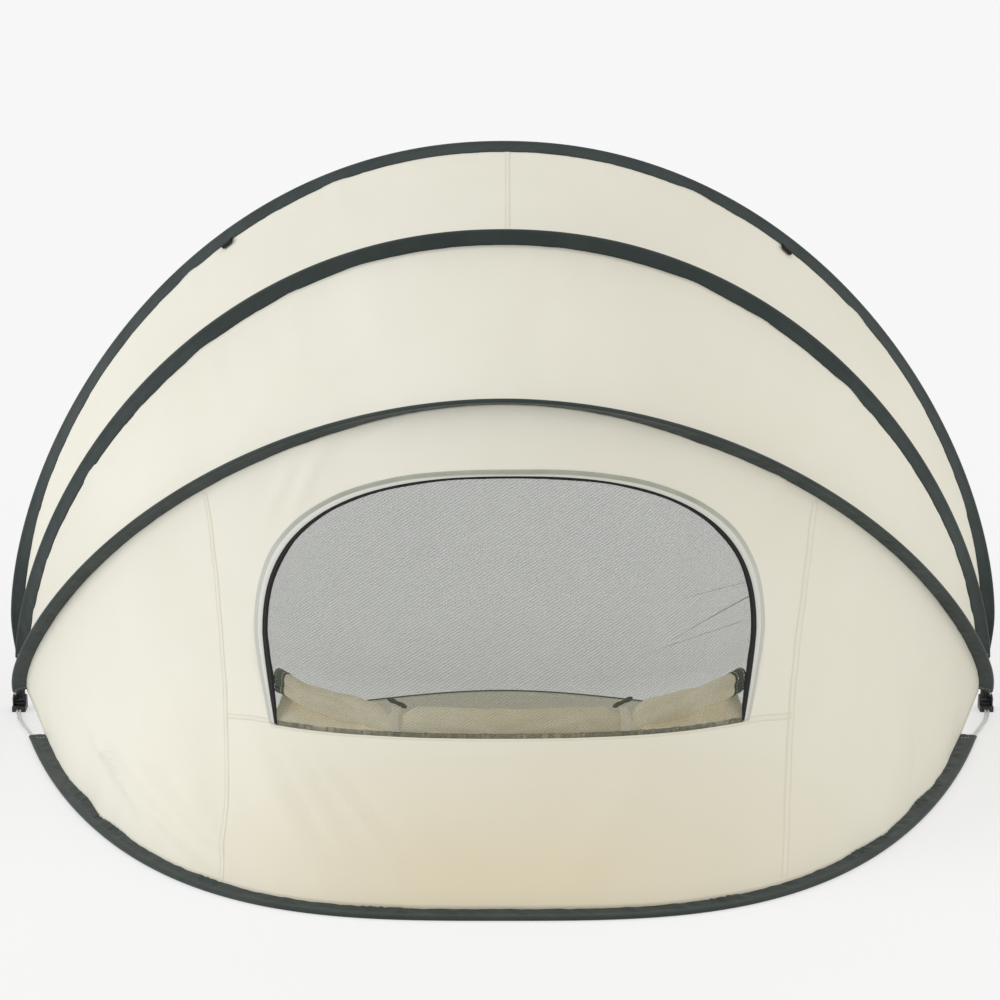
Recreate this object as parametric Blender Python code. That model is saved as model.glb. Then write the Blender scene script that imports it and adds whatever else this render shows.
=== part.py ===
# A beach tent: half a dome of cloth on three hoops that turn on two hinges over a base ring.
# X runs across the tent, the open mouth faces +Y, the window faces -Y, and the ground is at Z = 0.
# The origin is on the ground, halfway between the two hinges. All lengths are in metres.

import math

import bmesh
import bpy
import numpy as np
from mathutils import Matrix, Vector

# Driving sizes of the whole tent
HINGE_HALF_SPAN = 0.995      # from the middle of the tent to the middle of a hinge
HINGE_HEIGHT = 0.020         # the hinge pins above the ground
CLEARANCE = 0.0003           # between pieces that touch
CLOTH = 0.001                # one layer of tent cloth
ROD_DIAMETER = 0.0045        # every sprung rod
JOIN_HEIGHT = 0.190          # where a hoop's straight leg runs into its arch
HOOP_STEPS = 36              # facets along each hoop, its sleeve and the cloth between

# Rod ends and hinge
PIN_DIAMETER = 0.005
EYE_RADIUS = 0.0075
EYE_THICKNESS = 0.0068
SIDE_PLAY = 0.0004           # between eyes, and between an eye and a cheek
SOCKET_REACH = 0.024         # from the pin to the mouth of a rod socket
SOCKET_FLOOR = 0.010         # from the pin to the bottom of a rod socket
SOCKET_DEPTH_ACROSS = 0.009
CHEEK_THICKNESS = 0.003
CHEEK_RADIUS = 0.011
HEAD_DIAMETER = 0.009
HEAD_THICKNESS = 0.0018
HEAD_CROWN_SHARE = 0.55      # the flat of a pin's head, of the head's radius
EYES_PER_HINGE = 3

# Rod sleeves
SLEEVE_WALL = 0.0009
FIN_THICKNESS = 0.0024       # the folded tape between rod and seam
SLEEVE_ROOT_ANGLE = math.radians(17)
BASE_ROD_PITCH = 0.006       # between the two rods of the base ring

# Each hoop: its angle above the ground at rest, its widest half width, the height of that width,
# its reach from the hinge line to its crown, how full its sides and crown are (2 is an ellipse),
# its place in the hinge from the inside out, where its sleeve starts along the rod, the width of
# the sleeve from rod to seam, and how many degrees the sleeve tips over at the shares of the reach below.
TIP_SHARES = (0.10, 0.38, 0.60, 0.90, 1.0)
BASE = {
    "angle": 0.0, "half_width": 0.985, "belly": 0.0, "reach": 1.038,
    "side_fullness": 3.15, "crown_fullness": 1.165,
    "layer": 0, "sleeve_start": 0.170, "width": 0.024, "tips": (2, 8, 8, 14, 12),
}
FRONT = {
    "angle": math.radians(47.4), "half_width": 1.0125, "belly": 0.013, "reach": 1.145,
    "side_fullness": 1.954, "crown_fullness": 1.359,
    "layer": 1, "sleeve_start": 0.027, "width": 0.029, "tips": (0, 8, 2, -4, 20),
}
MIDDLE = {
    "angle": math.radians(69.2), "half_width": 0.998, "belly": 0.036, "reach": 1.140,
    "side_fullness": 2.082, "crown_fullness": 1.622,
    "layer": 0, "sleeve_start": 0.105, "width": 0.029, "tips": (-24, -54, -50, -24, -12),
}
REAR = {
    "angle": math.radians(90), "half_width": 1.002, "belly": 0.175, "reach": 1.157,
    "side_fullness": 2.084, "crown_fullness": 1.657,
    "layer": -1, "sleeve_start": 0.090, "width": 0.029, "tips": (-6, -44, -56, -54, -60),
}

# Values worked out from the sizes above
rod_radius = ROD_DIAMETER / 2
bore_radius = (rod_radius + CLEARANCE) / math.cos(math.pi / 6)
head_radius = bore_radius + SLEEVE_WALL
base_rod_height = head_radius
layer_pitch = EYE_THICKNESS + SIDE_PLAY
slot_half_width = (EYES_PER_HINGE * layer_pitch + SIDE_PLAY) / 2
hinge_half_width = slot_half_width + CHEEK_THICKNESS


# A hoop's line, in its own plane

def arch_point(hoop, turn):
    rise = hoop["reach"] - hoop["belly"]
    x = hoop["half_width"] * math.cos(turn) ** (2 / hoop["side_fullness"])
    r = hoop["belly"] + rise * math.sin(turn) ** (2 / hoop["crown_fullness"])
    return x, r


def half_outline(hoop):
    # From the rod's end in its socket, up the leg and over the arch to the crown
    foot_x = HINGE_HALF_SPAN + hoop["layer"] * layer_pitch
    share = (JOIN_HEIGHT - hoop["belly"]) / (hoop["reach"] - hoop["belly"])
    join = math.asin(share ** (hoop["crown_fullness"] / 2))
    arch = [arch_point(hoop, turn) for turn in np.linspace(join, math.pi / 2 - 1e-9, 160)]
    (x0, r0), (x1, r1) = arch[0], arch[1]
    slope = (x1 - x0) / (r1 - r0)
    run = r0 - SOCKET_REACH
    leg = [(foot_x, SOCKET_FLOOR + CLEARANCE)]
    for t in np.linspace(0, 1, 24)[:-1]:
        start, end = 1 - 3 * t**2 + 2 * t**3, 3 * t**2 - 2 * t**3
        leg.append((foot_x * start + x0 * end + slope * run * (t**3 - t**2), SOCKET_REACH + run * t))
    return leg + arch


def hoop_line(hoop):
    # The whole line from left to right, with the distance run along it
    half = np.array(half_outline(hoop))
    half[-1, 0] = 0
    left = half * (-1, 1)
    line = np.vstack([left, half[::-1][1:]])
    run = np.concatenate([[0], np.cumsum(np.hypot(*np.diff(line, axis=0).T))])
    return run, line


for each in (BASE, FRONT, MIDDLE, REAR):
    each["run"], each["line"] = hoop_line(each)
    each["length"] = each["run"][-1]


def on_line(hoop, distance):
    return np.array([np.interp(distance, hoop["run"], hoop["line"][:, k]) for k in (0, 1)])


def directions(hoop):
    # Away from the hinge line, and square to the hoop's plane on its upper side
    c, s = math.cos(hoop["angle"]), math.sin(hoop["angle"])
    return np.array([0, -c, s]), np.array([0, s, c])


def hoop_frame(hoop, distance):
    # The point on the rod's middle line, with the directions inwards and upwards
    step = hoop["length"] / (20 * HOOP_STEPS)
    x, r = on_line(hoop, distance)
    along = on_line(hoop, distance + step) - on_line(hoop, distance - step)
    along = along / np.hypot(*along)
    out, up = directions(hoop)
    height = base_rod_height if hoop is BASE else HINGE_HEIGHT
    point = np.array([x, 0, height]) + r * out
    inward = np.array([along[1], 0, 0]) - along[0] * out
    return point, inward, up, r


def tip_angle(hoop, r):
    return math.radians(np.interp(r / hoop["reach"], TIP_SHARES, hoop["tips"]))


def seam_point(hoop, distance):
    # The inner edge of the sleeve, where the cloth is sewn on, and the way the sleeve points
    point, inward, up, r = hoop_frame(hoop, distance)
    tip = tip_angle(hoop, r)
    way = inward * math.cos(tip) + up * math.sin(tip)
    if hoop is BASE:
        point = point + inward * BASE_ROD_PITCH / 2
    return point + way * hoop["width"], way


def sleeve_distance(hoop, share):
    start = hoop["sleeve_start"]
    return start + (hoop["length"] - 2 * start) * share


# Shared modelling steps

def clear_scene():
    for item in list(bpy.data.objects):
        bpy.data.objects.remove(item, do_unlink=True)


def finish_material(name, colour, roughness, metallic=0.0):
    material = bpy.data.materials.new(name)
    material.use_nodes = True
    shader = material.node_tree.nodes["Principled BSDF"]
    shader.inputs["Base Color"].default_value = (*colour, 1)
    shader.inputs["Roughness"].default_value = roughness
    shader.inputs["Metallic"].default_value = metallic
    return material


def add_object(name, data, material):
    item = bpy.data.objects.new(name, data)
    bpy.context.scene.collection.objects.link(item)
    data.materials.append(material)
    return item


def mesh_object(name, work, material):
    mesh = bpy.data.meshes.new(name)
    work.to_mesh(mesh)
    work.free()
    mesh.shade_smooth()
    mesh.set_sharp_from_angle(angle=math.radians(35))
    return add_object(name, mesh, material)


def closed_object(name, work, material):
    bmesh.ops.recalc_face_normals(work, faces=work.faces)
    return mesh_object(name, work, material)


def add_ring(work, points):
    return [work.verts.new(p) for p in points]


def join_rings(work, first, second, closed=True):
    count = len(first)
    for i in range(count if closed else count - 1):
        k = (i + 1) % count
        work.faces.new((first[i], first[k], second[k], second[i]))


def ring_edges(work, ring):
    return [work.edges.get((ring[i - 1], ring[i])) for i in range(len(ring))]


def tube_with_bore(name, outers, bores, material):
    # A swept skin with an open bore: its two ends are flat faces with the bore's hole in them
    work = bmesh.new()
    skins = [[add_ring(work, ring) for ring in rings] for rings in (outers, bores)]
    for rings in skins:
        for first, second in zip(rings, rings[1:]):
            join_rings(work, first, second)
    for end in (0, -1):
        rims = ring_edges(work, skins[0][end]) + ring_edges(work, skins[1][end])
        bmesh.ops.triangle_fill(work, edges=rims, use_beauty=True)
    return closed_object(name, work, material)


def solid_loft(name, rings, material):
    work = bmesh.new()
    loops = [add_ring(work, ring) for ring in rings]
    for first, second in zip(loops, loops[1:]):
        join_rings(work, first, second)
    work.faces.new(loops[0])
    work.faces.new(loops[-1][::-1])
    return closed_object(name, work, material)


def sheet(name, work, thickness, material):
    # An open sheet that Solidify makes a closed solid, half its thickness to each side
    item = mesh_object(name, work, material)
    wall = item.modifiers.new("thickness", "SOLIDIFY")
    wall.thickness = thickness
    wall.offset = 0
    return item


def strip(name, rows, thickness, material):
    work = bmesh.new()
    rings = [add_ring(work, row) for row in rows]
    for first, second in zip(rings, rings[1:]):
        join_rings(work, first, second, closed=False)
    return sheet(name, work, thickness, material)


# Rods

def rod(name, hoop, shift, material):
    # One sprung rod, from socket to socket; shift moves it inwards within a sleeve for two
    start = hoop["sleeve_start"]
    bare = list(np.linspace(SOCKET_REACH, start, 4)[:-1])
    sleeved = list(np.linspace(start, hoop["length"] - start, HOOP_STEPS + 1))
    distances = [0.0] + bare + sleeved + [hoop["length"] - d for d in bare[::-1]] + [hoop["length"]]
    curve = bpy.data.curves.new(name, "CURVE")
    curve.dimensions = "3D"
    spline = curve.splines.new("POLY")
    spline.points.add(len(distances) - 1)
    for point, distance in zip(spline.points, distances):
        middle, inward, _, _ = hoop_frame(hoop, distance)
        point.co = (*(middle + inward * shift), 1)
    curve.bevel_depth = rod_radius
    curve.bevel_resolution = 1
    curve.use_fill_caps = True
    return add_object(name, curve, material)


# Sleeves

def polar(radius, degrees, centre=(0, 0)):
    angle = math.radians(degrees)
    return centre[0] + radius * math.cos(angle), centre[1] + radius * math.sin(angle)


def hoop_section(tip):
    # In (inward, up): a round head about the rod and the flat tape that leaves it
    turns = np.linspace(math.degrees(tip + SLEEVE_ROOT_ANGLE),
                        math.degrees(tip - SLEEVE_ROOT_ANGLE) + 360, 7)
    head = [polar(head_radius, turn) for turn in turns]
    bore = [polar(bore_radius, math.degrees(tip) + turn) for turn in range(30, 390, 60)]
    return head, bore


def base_section(tip):
    # Two rods side by side: a long head, flat on the ground
    inner, outer = (BASE_ROD_PITCH / 2, 0), (-BASE_ROD_PITCH / 2, 0)
    root = math.degrees(SLEEVE_ROOT_ANGLE)
    lean = math.degrees(tip)
    head = [polar(head_radius, lean + root, inner), polar(head_radius, 90, inner)]
    head += [polar(head_radius, turn, outer) for turn in (90, 150, 210, 270)]
    head += [polar(head_radius, 270, inner), polar(head_radius, 320, inner)]
    head += [polar(head_radius, lean - root, inner)]
    bore = [polar(bore_radius, turn, inner) for turn in (270, 330, 390, 450)]
    bore += [polar(bore_radius, turn, outer) for turn in (90, 150, 210, 270)]
    return head, bore


def sleeve(name, hoop, material):
    outers, bores = [], []
    for step in range(HOOP_STEPS + 1):
        distance = sleeve_distance(hoop, step / HOOP_STEPS)
        point, inward, up, r = hoop_frame(hoop, distance)
        tip = tip_angle(hoop, r)
        head, bore = base_section(tip) if hoop is BASE else hoop_section(tip)
        seam, way = seam_point(hoop, distance)
        across = up * math.cos(tip) - inward * math.sin(tip)
        fin = [seam - across * FIN_THICKNESS / 2, seam + across * FIN_THICKNESS / 2]
        outers.append(fin + [point + inward * a + up * b for a, b in head])
        bores.append([point + inward * a + up * b for a, b in bore])
    return tube_with_bore(name, outers, bores, material)


# Cloth panels between neighbouring sleeves

SEAM_SETBACK = CLEARANCE + CLOTH / 2     # cloth from the sleeve's edge, so that the two stay apart
FRONT_DRAW_IN = 0.030                    # how far each panel is drawn in between its hoops
MIDDLE_DRAW_IN = 0.010
REAR_DRAW_IN = 0.008


def seat(hoop, other, share):
    # Where the cloth starts: just clear of the sleeve's edge, or of its face if the cloth turns back
    distance = sleeve_distance(hoop, share)
    seam, way = seam_point(hoop, distance)
    beyond, _ = seam_point(other, sleeve_distance(other, share))
    _, inward, up, _ = hoop_frame(hoop, distance)
    along = np.cross(inward, up)
    pull = beyond - seam - along * ((beyond - seam) @ along)
    pull = pull / np.linalg.norm(pull)
    face = np.cross(along, way)
    setback = (FIN_THICKNESS / 2 + SEAM_SETBACK) / abs(pull @ face)
    if pull @ way > 0:
        setback = min(setback, SEAM_SETBACK / (pull @ way))
    return seam + pull * setback


def panel_point(lower, upper, draw_in, share, rise):
    first, last = seat(lower, upper, share), seat(upper, lower, share)
    straight = first + (last - first) * rise
    step = 1 / (20 * HOOP_STEPS)
    along = seat(lower, upper, min(share + step, 1)) - seat(lower, upper, max(share - step, 0))
    along = along + seat(upper, lower, min(share + step, 1)) - seat(upper, lower, max(share - step, 0))
    normal = np.cross(along, last - first)
    normal = normal / np.linalg.norm(normal)
    bow = 4 * rise * (1 - rise) * math.sin(math.pi * share) ** 0.5
    return straight - normal * draw_in * bow, normal


def plain_panel(name, lower, upper, draw_in, rows, material):
    lines = []
    for row in range(rows + 1):
        shares = [step / HOOP_STEPS for step in range(HOOP_STEPS + 1)]
        lines.append([panel_point(lower, upper, draw_in, share, row / rows)[0] for share in shares])
    return strip(name, lines, CLOTH, material)


# The window, drawn in front view on the front panel

WINDOW_HALF_WIDTH = 0.437
WINDOW_FOOT_HALF_WIDTH = 0.410
WINDOW_BOTTOM = 0.266        # at the two feet of the arch
WINDOW_BOTTOM_RISE = 0.012   # how much higher the middle of the bottom edge is
WINDOW_SPRING = 0.420        # the height where the window is widest
WINDOW_TOP = 0.712
WINDOW_ARCH_FULLNESS = 2.5
ARCH_SHARE = 0.62            # the part of the outline that is arch, between two legs
ARCH_STEPS = 58
FOOT_MARGIN_SHARE = 0.003    # the tapes stop just above the bottom edge
ZIP_WIDTH = 0.011
ZIP_THICKNESS = 0.0012
BINDING_WIDTH = 0.020
BINDING_LAP = 0.004
BINDING_THICKNESS = 0.001
NET_THICKNESS = 0.0006
NET_STRAND = 0.0022
NET_GAP = 0.0009             # between net and zip, whose facets differ
NET_COLUMNS = 14
NET_ROWS = 7
PANEL_RINGS = 4
SIDE_STEPS = 3               # facets up each free edge of the front panel
WINDOW_STEP_SHARE = 0.0001   # the step for the panel's slope


def on_front(x, z, lift=0.0):
    # The place on the front panel that has this x and height, and its outward direction
    share, rise = 0.5 + x / BASE["length"], z / FRONT["reach"]
    step = WINDOW_STEP_SHARE
    for _ in range(5):
        here = panel_point(BASE, FRONT, FRONT_DRAW_IN, share, rise)[0]
        side = (panel_point(BASE, FRONT, FRONT_DRAW_IN, share + step, rise)[0] - here) / step
        over = (panel_point(BASE, FRONT, FRONT_DRAW_IN, share, rise + step)[0] - here) / step
        slopes = np.array([[side[0], over[0]], [side[2], over[2]]])
        move = np.linalg.solve(slopes, [x - here[0], z - here[2]])
        share, rise = share + move[0], rise + move[1]
    point, normal = panel_point(BASE, FRONT, FRONT_DRAW_IN, share, rise)
    return point + normal * lift, (share, rise)


def window_bottom(x):
    return WINDOW_BOTTOM + WINDOW_BOTTOM_RISE * (1 - (x / WINDOW_FOOT_HALF_WIDTH) ** 2)


def window_side(share, inset=0.0):
    # From the left foot over the arch to the right foot, drawn in by inset
    foot, wide = WINDOW_FOOT_HALF_WIDTH - inset, WINDOW_HALF_WIDTH - inset
    off_middle = abs(share - 0.5)
    if off_middle <= ARCH_SHARE / 2:
        turn = math.pi * off_middle / ARCH_SHARE
        power = 2 / WINDOW_ARCH_FULLNESS
        x = wide * math.sin(turn) ** power
        z = WINDOW_SPRING + (WINDOW_TOP - inset - WINDOW_SPRING) * max(math.cos(turn), 0) ** power
    else:
        down = (off_middle - ARCH_SHARE / 2) / (0.5 - ARCH_SHARE / 2)
        x = wide - (wide - foot) * down**2
        z = WINDOW_SPRING - (WINDOW_SPRING - WINDOW_BOTTOM) * down
    return math.copysign(x, share - 0.5), z


def window_strip(name, outer_inset, inner_inset, lift, thickness, material):
    rows = []
    for inset in (outer_inset, inner_inset):
        shares = [step / ARCH_STEPS for step in range(ARCH_STEPS + 1)]
        shares[0], shares[-1] = FOOT_MARGIN_SHARE, 1 - FOOT_MARGIN_SHARE
        rows.append([on_front(*window_side(share, inset), lift)[0] for share in shares])
    return strip(name, rows, thickness, material)


def front_panel(name, material):
    # Rings of cloth between the panel's own edge and the window's
    steps = HOOP_STEPS
    outer = [(i / steps, 0) for i in range(steps + 1)]
    outer += [(1, i / SIDE_STEPS) for i in range(1, SIDE_STEPS)]
    outer += [(i / steps, 1) for i in range(steps, -1, -1)]
    outer += [(0, i / SIDE_STEPS) for i in range(SIDE_STEPS - 1, 0, -1)]
    bottom_steps = len(outer) - ARCH_STEPS
    across = np.linspace(-WINDOW_FOOT_HALF_WIDTH, WINDOW_FOOT_HALF_WIDTH, bottom_steps + 1)
    edge = [(x, window_bottom(x)) for x in across]
    edge += [window_side(step / ARCH_STEPS) for step in range(ARCH_STEPS - 1, 0, -1)]
    first = (steps - bottom_steps) // 2
    outer = outer[first:] + outer[:first]
    inner = [on_front(*place)[1] for place in edge]
    work = bmesh.new()
    rings = []
    for ring in range(PANEL_RINGS + 1):
        t = ring / PANEL_RINGS
        mix = [(a[0] + (b[0] - a[0]) * t, a[1] + (b[1] - a[1]) * t) for a, b in zip(outer, inner)]
        rings.append(add_ring(work, [panel_point(BASE, FRONT, FRONT_DRAW_IN, *at)[0] for at in mix]))
    for a, b in zip(rings, rings[1:]):
        join_rings(work, a, b)
    return sheet(name, work, CLOTH, material)


def window_net(name, material):
    # Straight columns under the arch; every face of the grid becomes one gap
    inset = ZIP_WIDTH + NET_GAP
    wide, foot = WINDOW_HALF_WIDTH - inset, WINDOW_FOOT_HALF_WIDTH - inset
    work = bmesh.new()
    lines = []
    for column in range(NET_COLUMNS + 1):
        side = 2 * column / NET_COLUMNS - 1
        arch = (1 - abs(side) ** WINDOW_ARCH_FULLNESS) ** (1 / WINDOW_ARCH_FULLNESS)
        top = WINDOW_SPRING + (WINDOW_TOP - inset - WINDOW_SPRING) * arch
        bottom = window_bottom(side * foot) + NET_GAP
        places = []
        for row in range(NET_ROWS + 1):
            z = bottom + (top - bottom) * row / NET_ROWS
            down = max(0, (WINDOW_SPRING - z) / (WINDOW_SPRING - WINDOW_BOTTOM))
            places.append(on_front(side * (wide - (wide - foot) * down**2), z)[0])
        lines.append(add_ring(work, places))
    for a, b in zip(lines, lines[1:]):
        join_rings(work, a, b, closed=False)
    work.normal_update()
    gaps = bmesh.ops.inset_individual(work, faces=work.faces, thickness=NET_STRAND / 2)
    rims = set(gaps["faces"])
    bmesh.ops.delete(work, geom=[face for face in work.faces if face not in rims], context="FACES")
    return sheet(name, work, NET_THICKNESS, material)


# The rolled window cover, its ties and toggles, inside the front panel

ROLL_HALF_LENGTH = 0.412
ROLL_DEPTH = 0.036           # from front to back
ROLL_HEIGHT = 0.056          # at the middle
ROLL_END_HEIGHT = 0.104
ROLL_TIE_HEIGHT = 0.044
ROLL_DROP = 0.004            # its lower edge below the window's bottom edge
ROLL_GAP = 0.0006            # behind the net and the panel, whose facets differ
ROLL_FULLNESS = 3            # the roll's section, flattened against the panel
ROLL_STEPS = 24
ROLL_SIDES = 12
TIE_PLACE = 0.204            # from the middle of the tent
TIE_WIDTH = 0.016
TIE_THICKNESS = 0.0016
TIE_PINCH_REACH = 0.030      # how far the roll narrows to each side of a tie
TIE_NECK = 0.010             # the loop of tie that is pulled up round its toggle
TIE_NECK_LEAN = 0.004        # and back, as the wall leans
TIE_ROOM_SHARE = 0.75        # rings of the roll nearer a tie than this share of its width are left out
TOGGLE_LENGTH = 0.040
TOGGLE_RADIUS = 0.0048
TOGGLE_SLANT = math.radians(25)
TOGGLE_SIDES = 10
TOGGLE_SHARES = ((0, 0.45), (0.06, 0.85), (0.3, 1.0), (0.5, 0.86), (0.7, 1.0), (0.94, 0.85), (1, 0.45))


def smooth(t):
    t = min(max(t, 0), 1)
    return t * t * (3 - 2 * t)


def roll_size(x):
    # Depth and height of the roll, which its ties draw in by their own thickness and more
    swell = ROLL_HEIGHT + (ROLL_END_HEIGHT - ROLL_HEIGHT) * (abs(x) / ROLL_HALF_LENGTH) ** 3
    off_tie = max(0, abs(abs(x) - TIE_PLACE) - TIE_WIDTH / 2 - CLEARANCE)
    free = smooth(off_tie / TIE_PINCH_REACH)
    tied_depth = ROLL_DEPTH - 2 * (TIE_THICKNESS + CLEARANCE)
    height = ROLL_TIE_HEIGHT + (swell - ROLL_TIE_HEIGHT) * free
    return tied_depth + (ROLL_DEPTH - tied_depth) * free, height


def power_turn(value):
    return math.copysign(abs(value) ** (2 / ROLL_FULLNESS), value)


def roll_section(x, grow=0.0):
    # A flattened oval just behind the net, with its lower edge behind the panel
    depth, height = roll_size(x)
    level = window_bottom(x) - ROLL_DROP + height / 2
    depth, height = depth / 2 + grow, height / 2 + grow
    room = CLOTH / 2 + ROLL_GAP + ROLL_DEPTH / 2
    centre, _ = on_front(x, level, -room)
    front, _ = on_front(x, level)
    back = (centre - front) / room
    turns = [2 * math.pi * side / ROLL_SIDES for side in range(ROLL_SIDES)]
    up = np.cross((1, 0, 0), back)
    up = up / np.linalg.norm(up) * math.copysign(1, up[2])
    return [centre + back * depth * power_turn(math.cos(t)) + up * height * power_turn(math.sin(t))
            for t in turns]


def cover_roll(name, material):
    half_tie = TIE_WIDTH / 2 + CLEARANCE
    places = [x for x in np.linspace(-ROLL_HALF_LENGTH, ROLL_HALF_LENGTH, ROLL_STEPS + 1)
              if abs(abs(x) - TIE_PLACE) > TIE_WIDTH * TIE_ROOM_SHARE]
    places += [side * (TIE_PLACE + half_tie * end) for side in (-1, 1) for end in (-1, 1)]
    return solid_loft(name, [roll_section(x) for x in sorted(places)], material)


def tie_outside(x):
    ring = roll_section(x, CLEARANCE + TIE_THICKNESS)
    crown = ROLL_SIDES // 4      # the top of the section
    ring[crown] = ring[crown] + np.array([0, TIE_NECK_LEAN, TIE_NECK])
    return ring


def tie_loop(name, side, material):
    ends = [side * TIE_PLACE - TIE_WIDTH / 2, side * TIE_PLACE + TIE_WIDTH / 2]
    bores = [roll_section(x, CLEARANCE) for x in ends]
    return tube_with_bore(name, [tie_outside(x) for x in ends], bores, material)


def toggle(name, side, material):
    crown = max(tie_outside(side * TIE_PLACE), key=lambda point: point[2])
    rise = CLEARANCE + TOGGLE_RADIUS / math.cos(TOGGLE_SLANT) + TIE_WIDTH / 2 * math.tan(TOGGLE_SLANT)
    middle = crown + np.array([0, 0, rise])
    left, right = [on_front(side * TIE_PLACE + end * TIE_WIDTH / 2, WINDOW_BOTTOM)[0] for end in (-1, 1)]
    run = (right - left) * (1, 1, 0) / np.hypot(*(right - left)[:2])
    way = run * math.cos(TOGGLE_SLANT) + np.array([0, 0, side * math.sin(TOGGLE_SLANT)])
    across = np.array([-run[1], run[0], 0])
    over = np.cross(way, across)
    rings = []
    for along, fat in TOGGLE_SHARES:
        centre = middle + way * TOGGLE_LENGTH * (along - 0.5)
        turns = [2 * math.pi * step / TOGGLE_SIDES for step in range(TOGGLE_SIDES)]
        rings.append([centre + (across * math.cos(t) + over * math.sin(t)) * TOGGLE_RADIUS * fat
                      for t in turns])
    return solid_loft(name, rings, material)


# The floor, up to the base sleeve's seam on one side and the sill at the mouth on the other

SILL_HALF_WIDTH = 0.930      # the sill's ends, behind the front panel's lower corners
SILL_BACK = 0.030            # the sill's middle, behind the hinge line
SILL_BULGE = 0.088           # from the sill's ends to its middle
SILL_BULGE_POWER = 8         # the bulge is short, in the middle of the sill
FLOOR_RUN = 0.060            # from the seam down to the ground, at the front
FLOOR_END_RUN = 0.006
FLOOR_FLAT_RUN = 0.012
SILL_TAPE_WIDTH = 0.020
SILL_TAPE_THICKNESS = 0.001
SILL_STEPS = 24


def sill_point(share, back=0.0, height=CLOTH / 2):
    side = 2 * share - 1
    bulge = SILL_BULGE * (1 - (1 - side**2) ** SILL_BULGE_POWER)
    return np.array([side * SILL_HALF_WIDTH, SILL_BACK - bulge - back, height])


def floor(name, material):
    rows = [[], [], [], []]
    for step in range(HOOP_STEPS + 1):
        share = step / HOOP_STEPS
        seam, way = seam_point(BASE, sleeve_distance(BASE, share))
        _, inward, _, _ = hoop_frame(BASE, sleeve_distance(BASE, share))
        run = FLOOR_END_RUN + FLOOR_RUN * math.sin(math.pi * share) ** 0.5
        ground = seam + inward * run
        ground[2] = CLOTH / 2
        pull = (ground - seam) / np.linalg.norm(ground - seam)
        rows[0].append(seam + way * SEAM_SETBACK + pull * SEAM_SETBACK)
        rows[1].append(ground)
        rows[2].append(ground + inward * FLOOR_FLAT_RUN)
        rows[3].append(sill_point(share))
    return strip(name, rows, CLOTH, material)


def sill_tape(name, material):
    height = CLOTH + CLEARANCE + SILL_TAPE_THICKNESS / 2
    shares = [step / SILL_STEPS for step in range(SILL_STEPS + 1)]
    rows = [[sill_point(share, back, height) for share in shares] for back in (SILL_TAPE_WIDTH, 0)]
    return strip(name, rows, SILL_TAPE_THICKNESS, material)


# Hinges

FOOT_NOSE = 0.003            # rounding of the hinge foot's front
BLOCK_BEVEL = 0.0008
EYE_CHAMFER = 0.0015
ROUND_SIDES = 16
CUT_OVERRUN = 0.005
foot_height = HINGE_HEIGHT - EYE_RADIUS - 2 * SIDE_PLAY


def prism(name, outline, low, high, material):
    # An outline in (y, z) pulled along X from low to high
    work = bmesh.new()
    rings = [add_ring(work, [(x, y, z) for y, z in outline]) for x in (low, high)]
    join_rings(work, *rings)
    work.faces.new(rings[0])
    work.faces.new(rings[1][::-1])
    return closed_object(name, work, material)


def cutter(name, rings):
    work = bmesh.new()
    loops = [add_ring(work, ring) for ring in rings]
    join_rings(work, *loops)
    work.faces.new(loops[0])
    work.faces.new(loops[1][::-1])
    bmesh.ops.recalc_face_normals(work, faces=work.faces)
    mesh = bpy.data.meshes.new(name)
    work.to_mesh(mesh)
    work.free()
    item = bpy.data.objects.new(name, mesh)
    bpy.context.scene.collection.objects.link(item)
    item.hide_render = True
    item.display_type = "WIRE"
    return item


def cut(item, tool):
    tool.parent = item
    change = item.modifiers.new(tool.name, "BOOLEAN")
    change.operation = "DIFFERENCE"
    change.solver = "EXACT"
    change.object = tool


def round_ring(centre, way, radius, sides=ROUND_SIDES):
    way = Vector(way).normalized()
    across = way.orthogonal().normalized()
    over = way.cross(across)
    turns = [2 * math.pi * step / sides for step in range(sides)]
    return [Vector(centre) + (across * math.cos(t) + over * math.sin(t)) * radius for t in turns]


def round_cutter(name, start, end, radius, sides=ROUND_SIDES):
    way = Vector(end) - Vector(start)
    return cutter(name, [round_ring(start, way, radius, sides), round_ring(end, way, radius, sides)])


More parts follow.
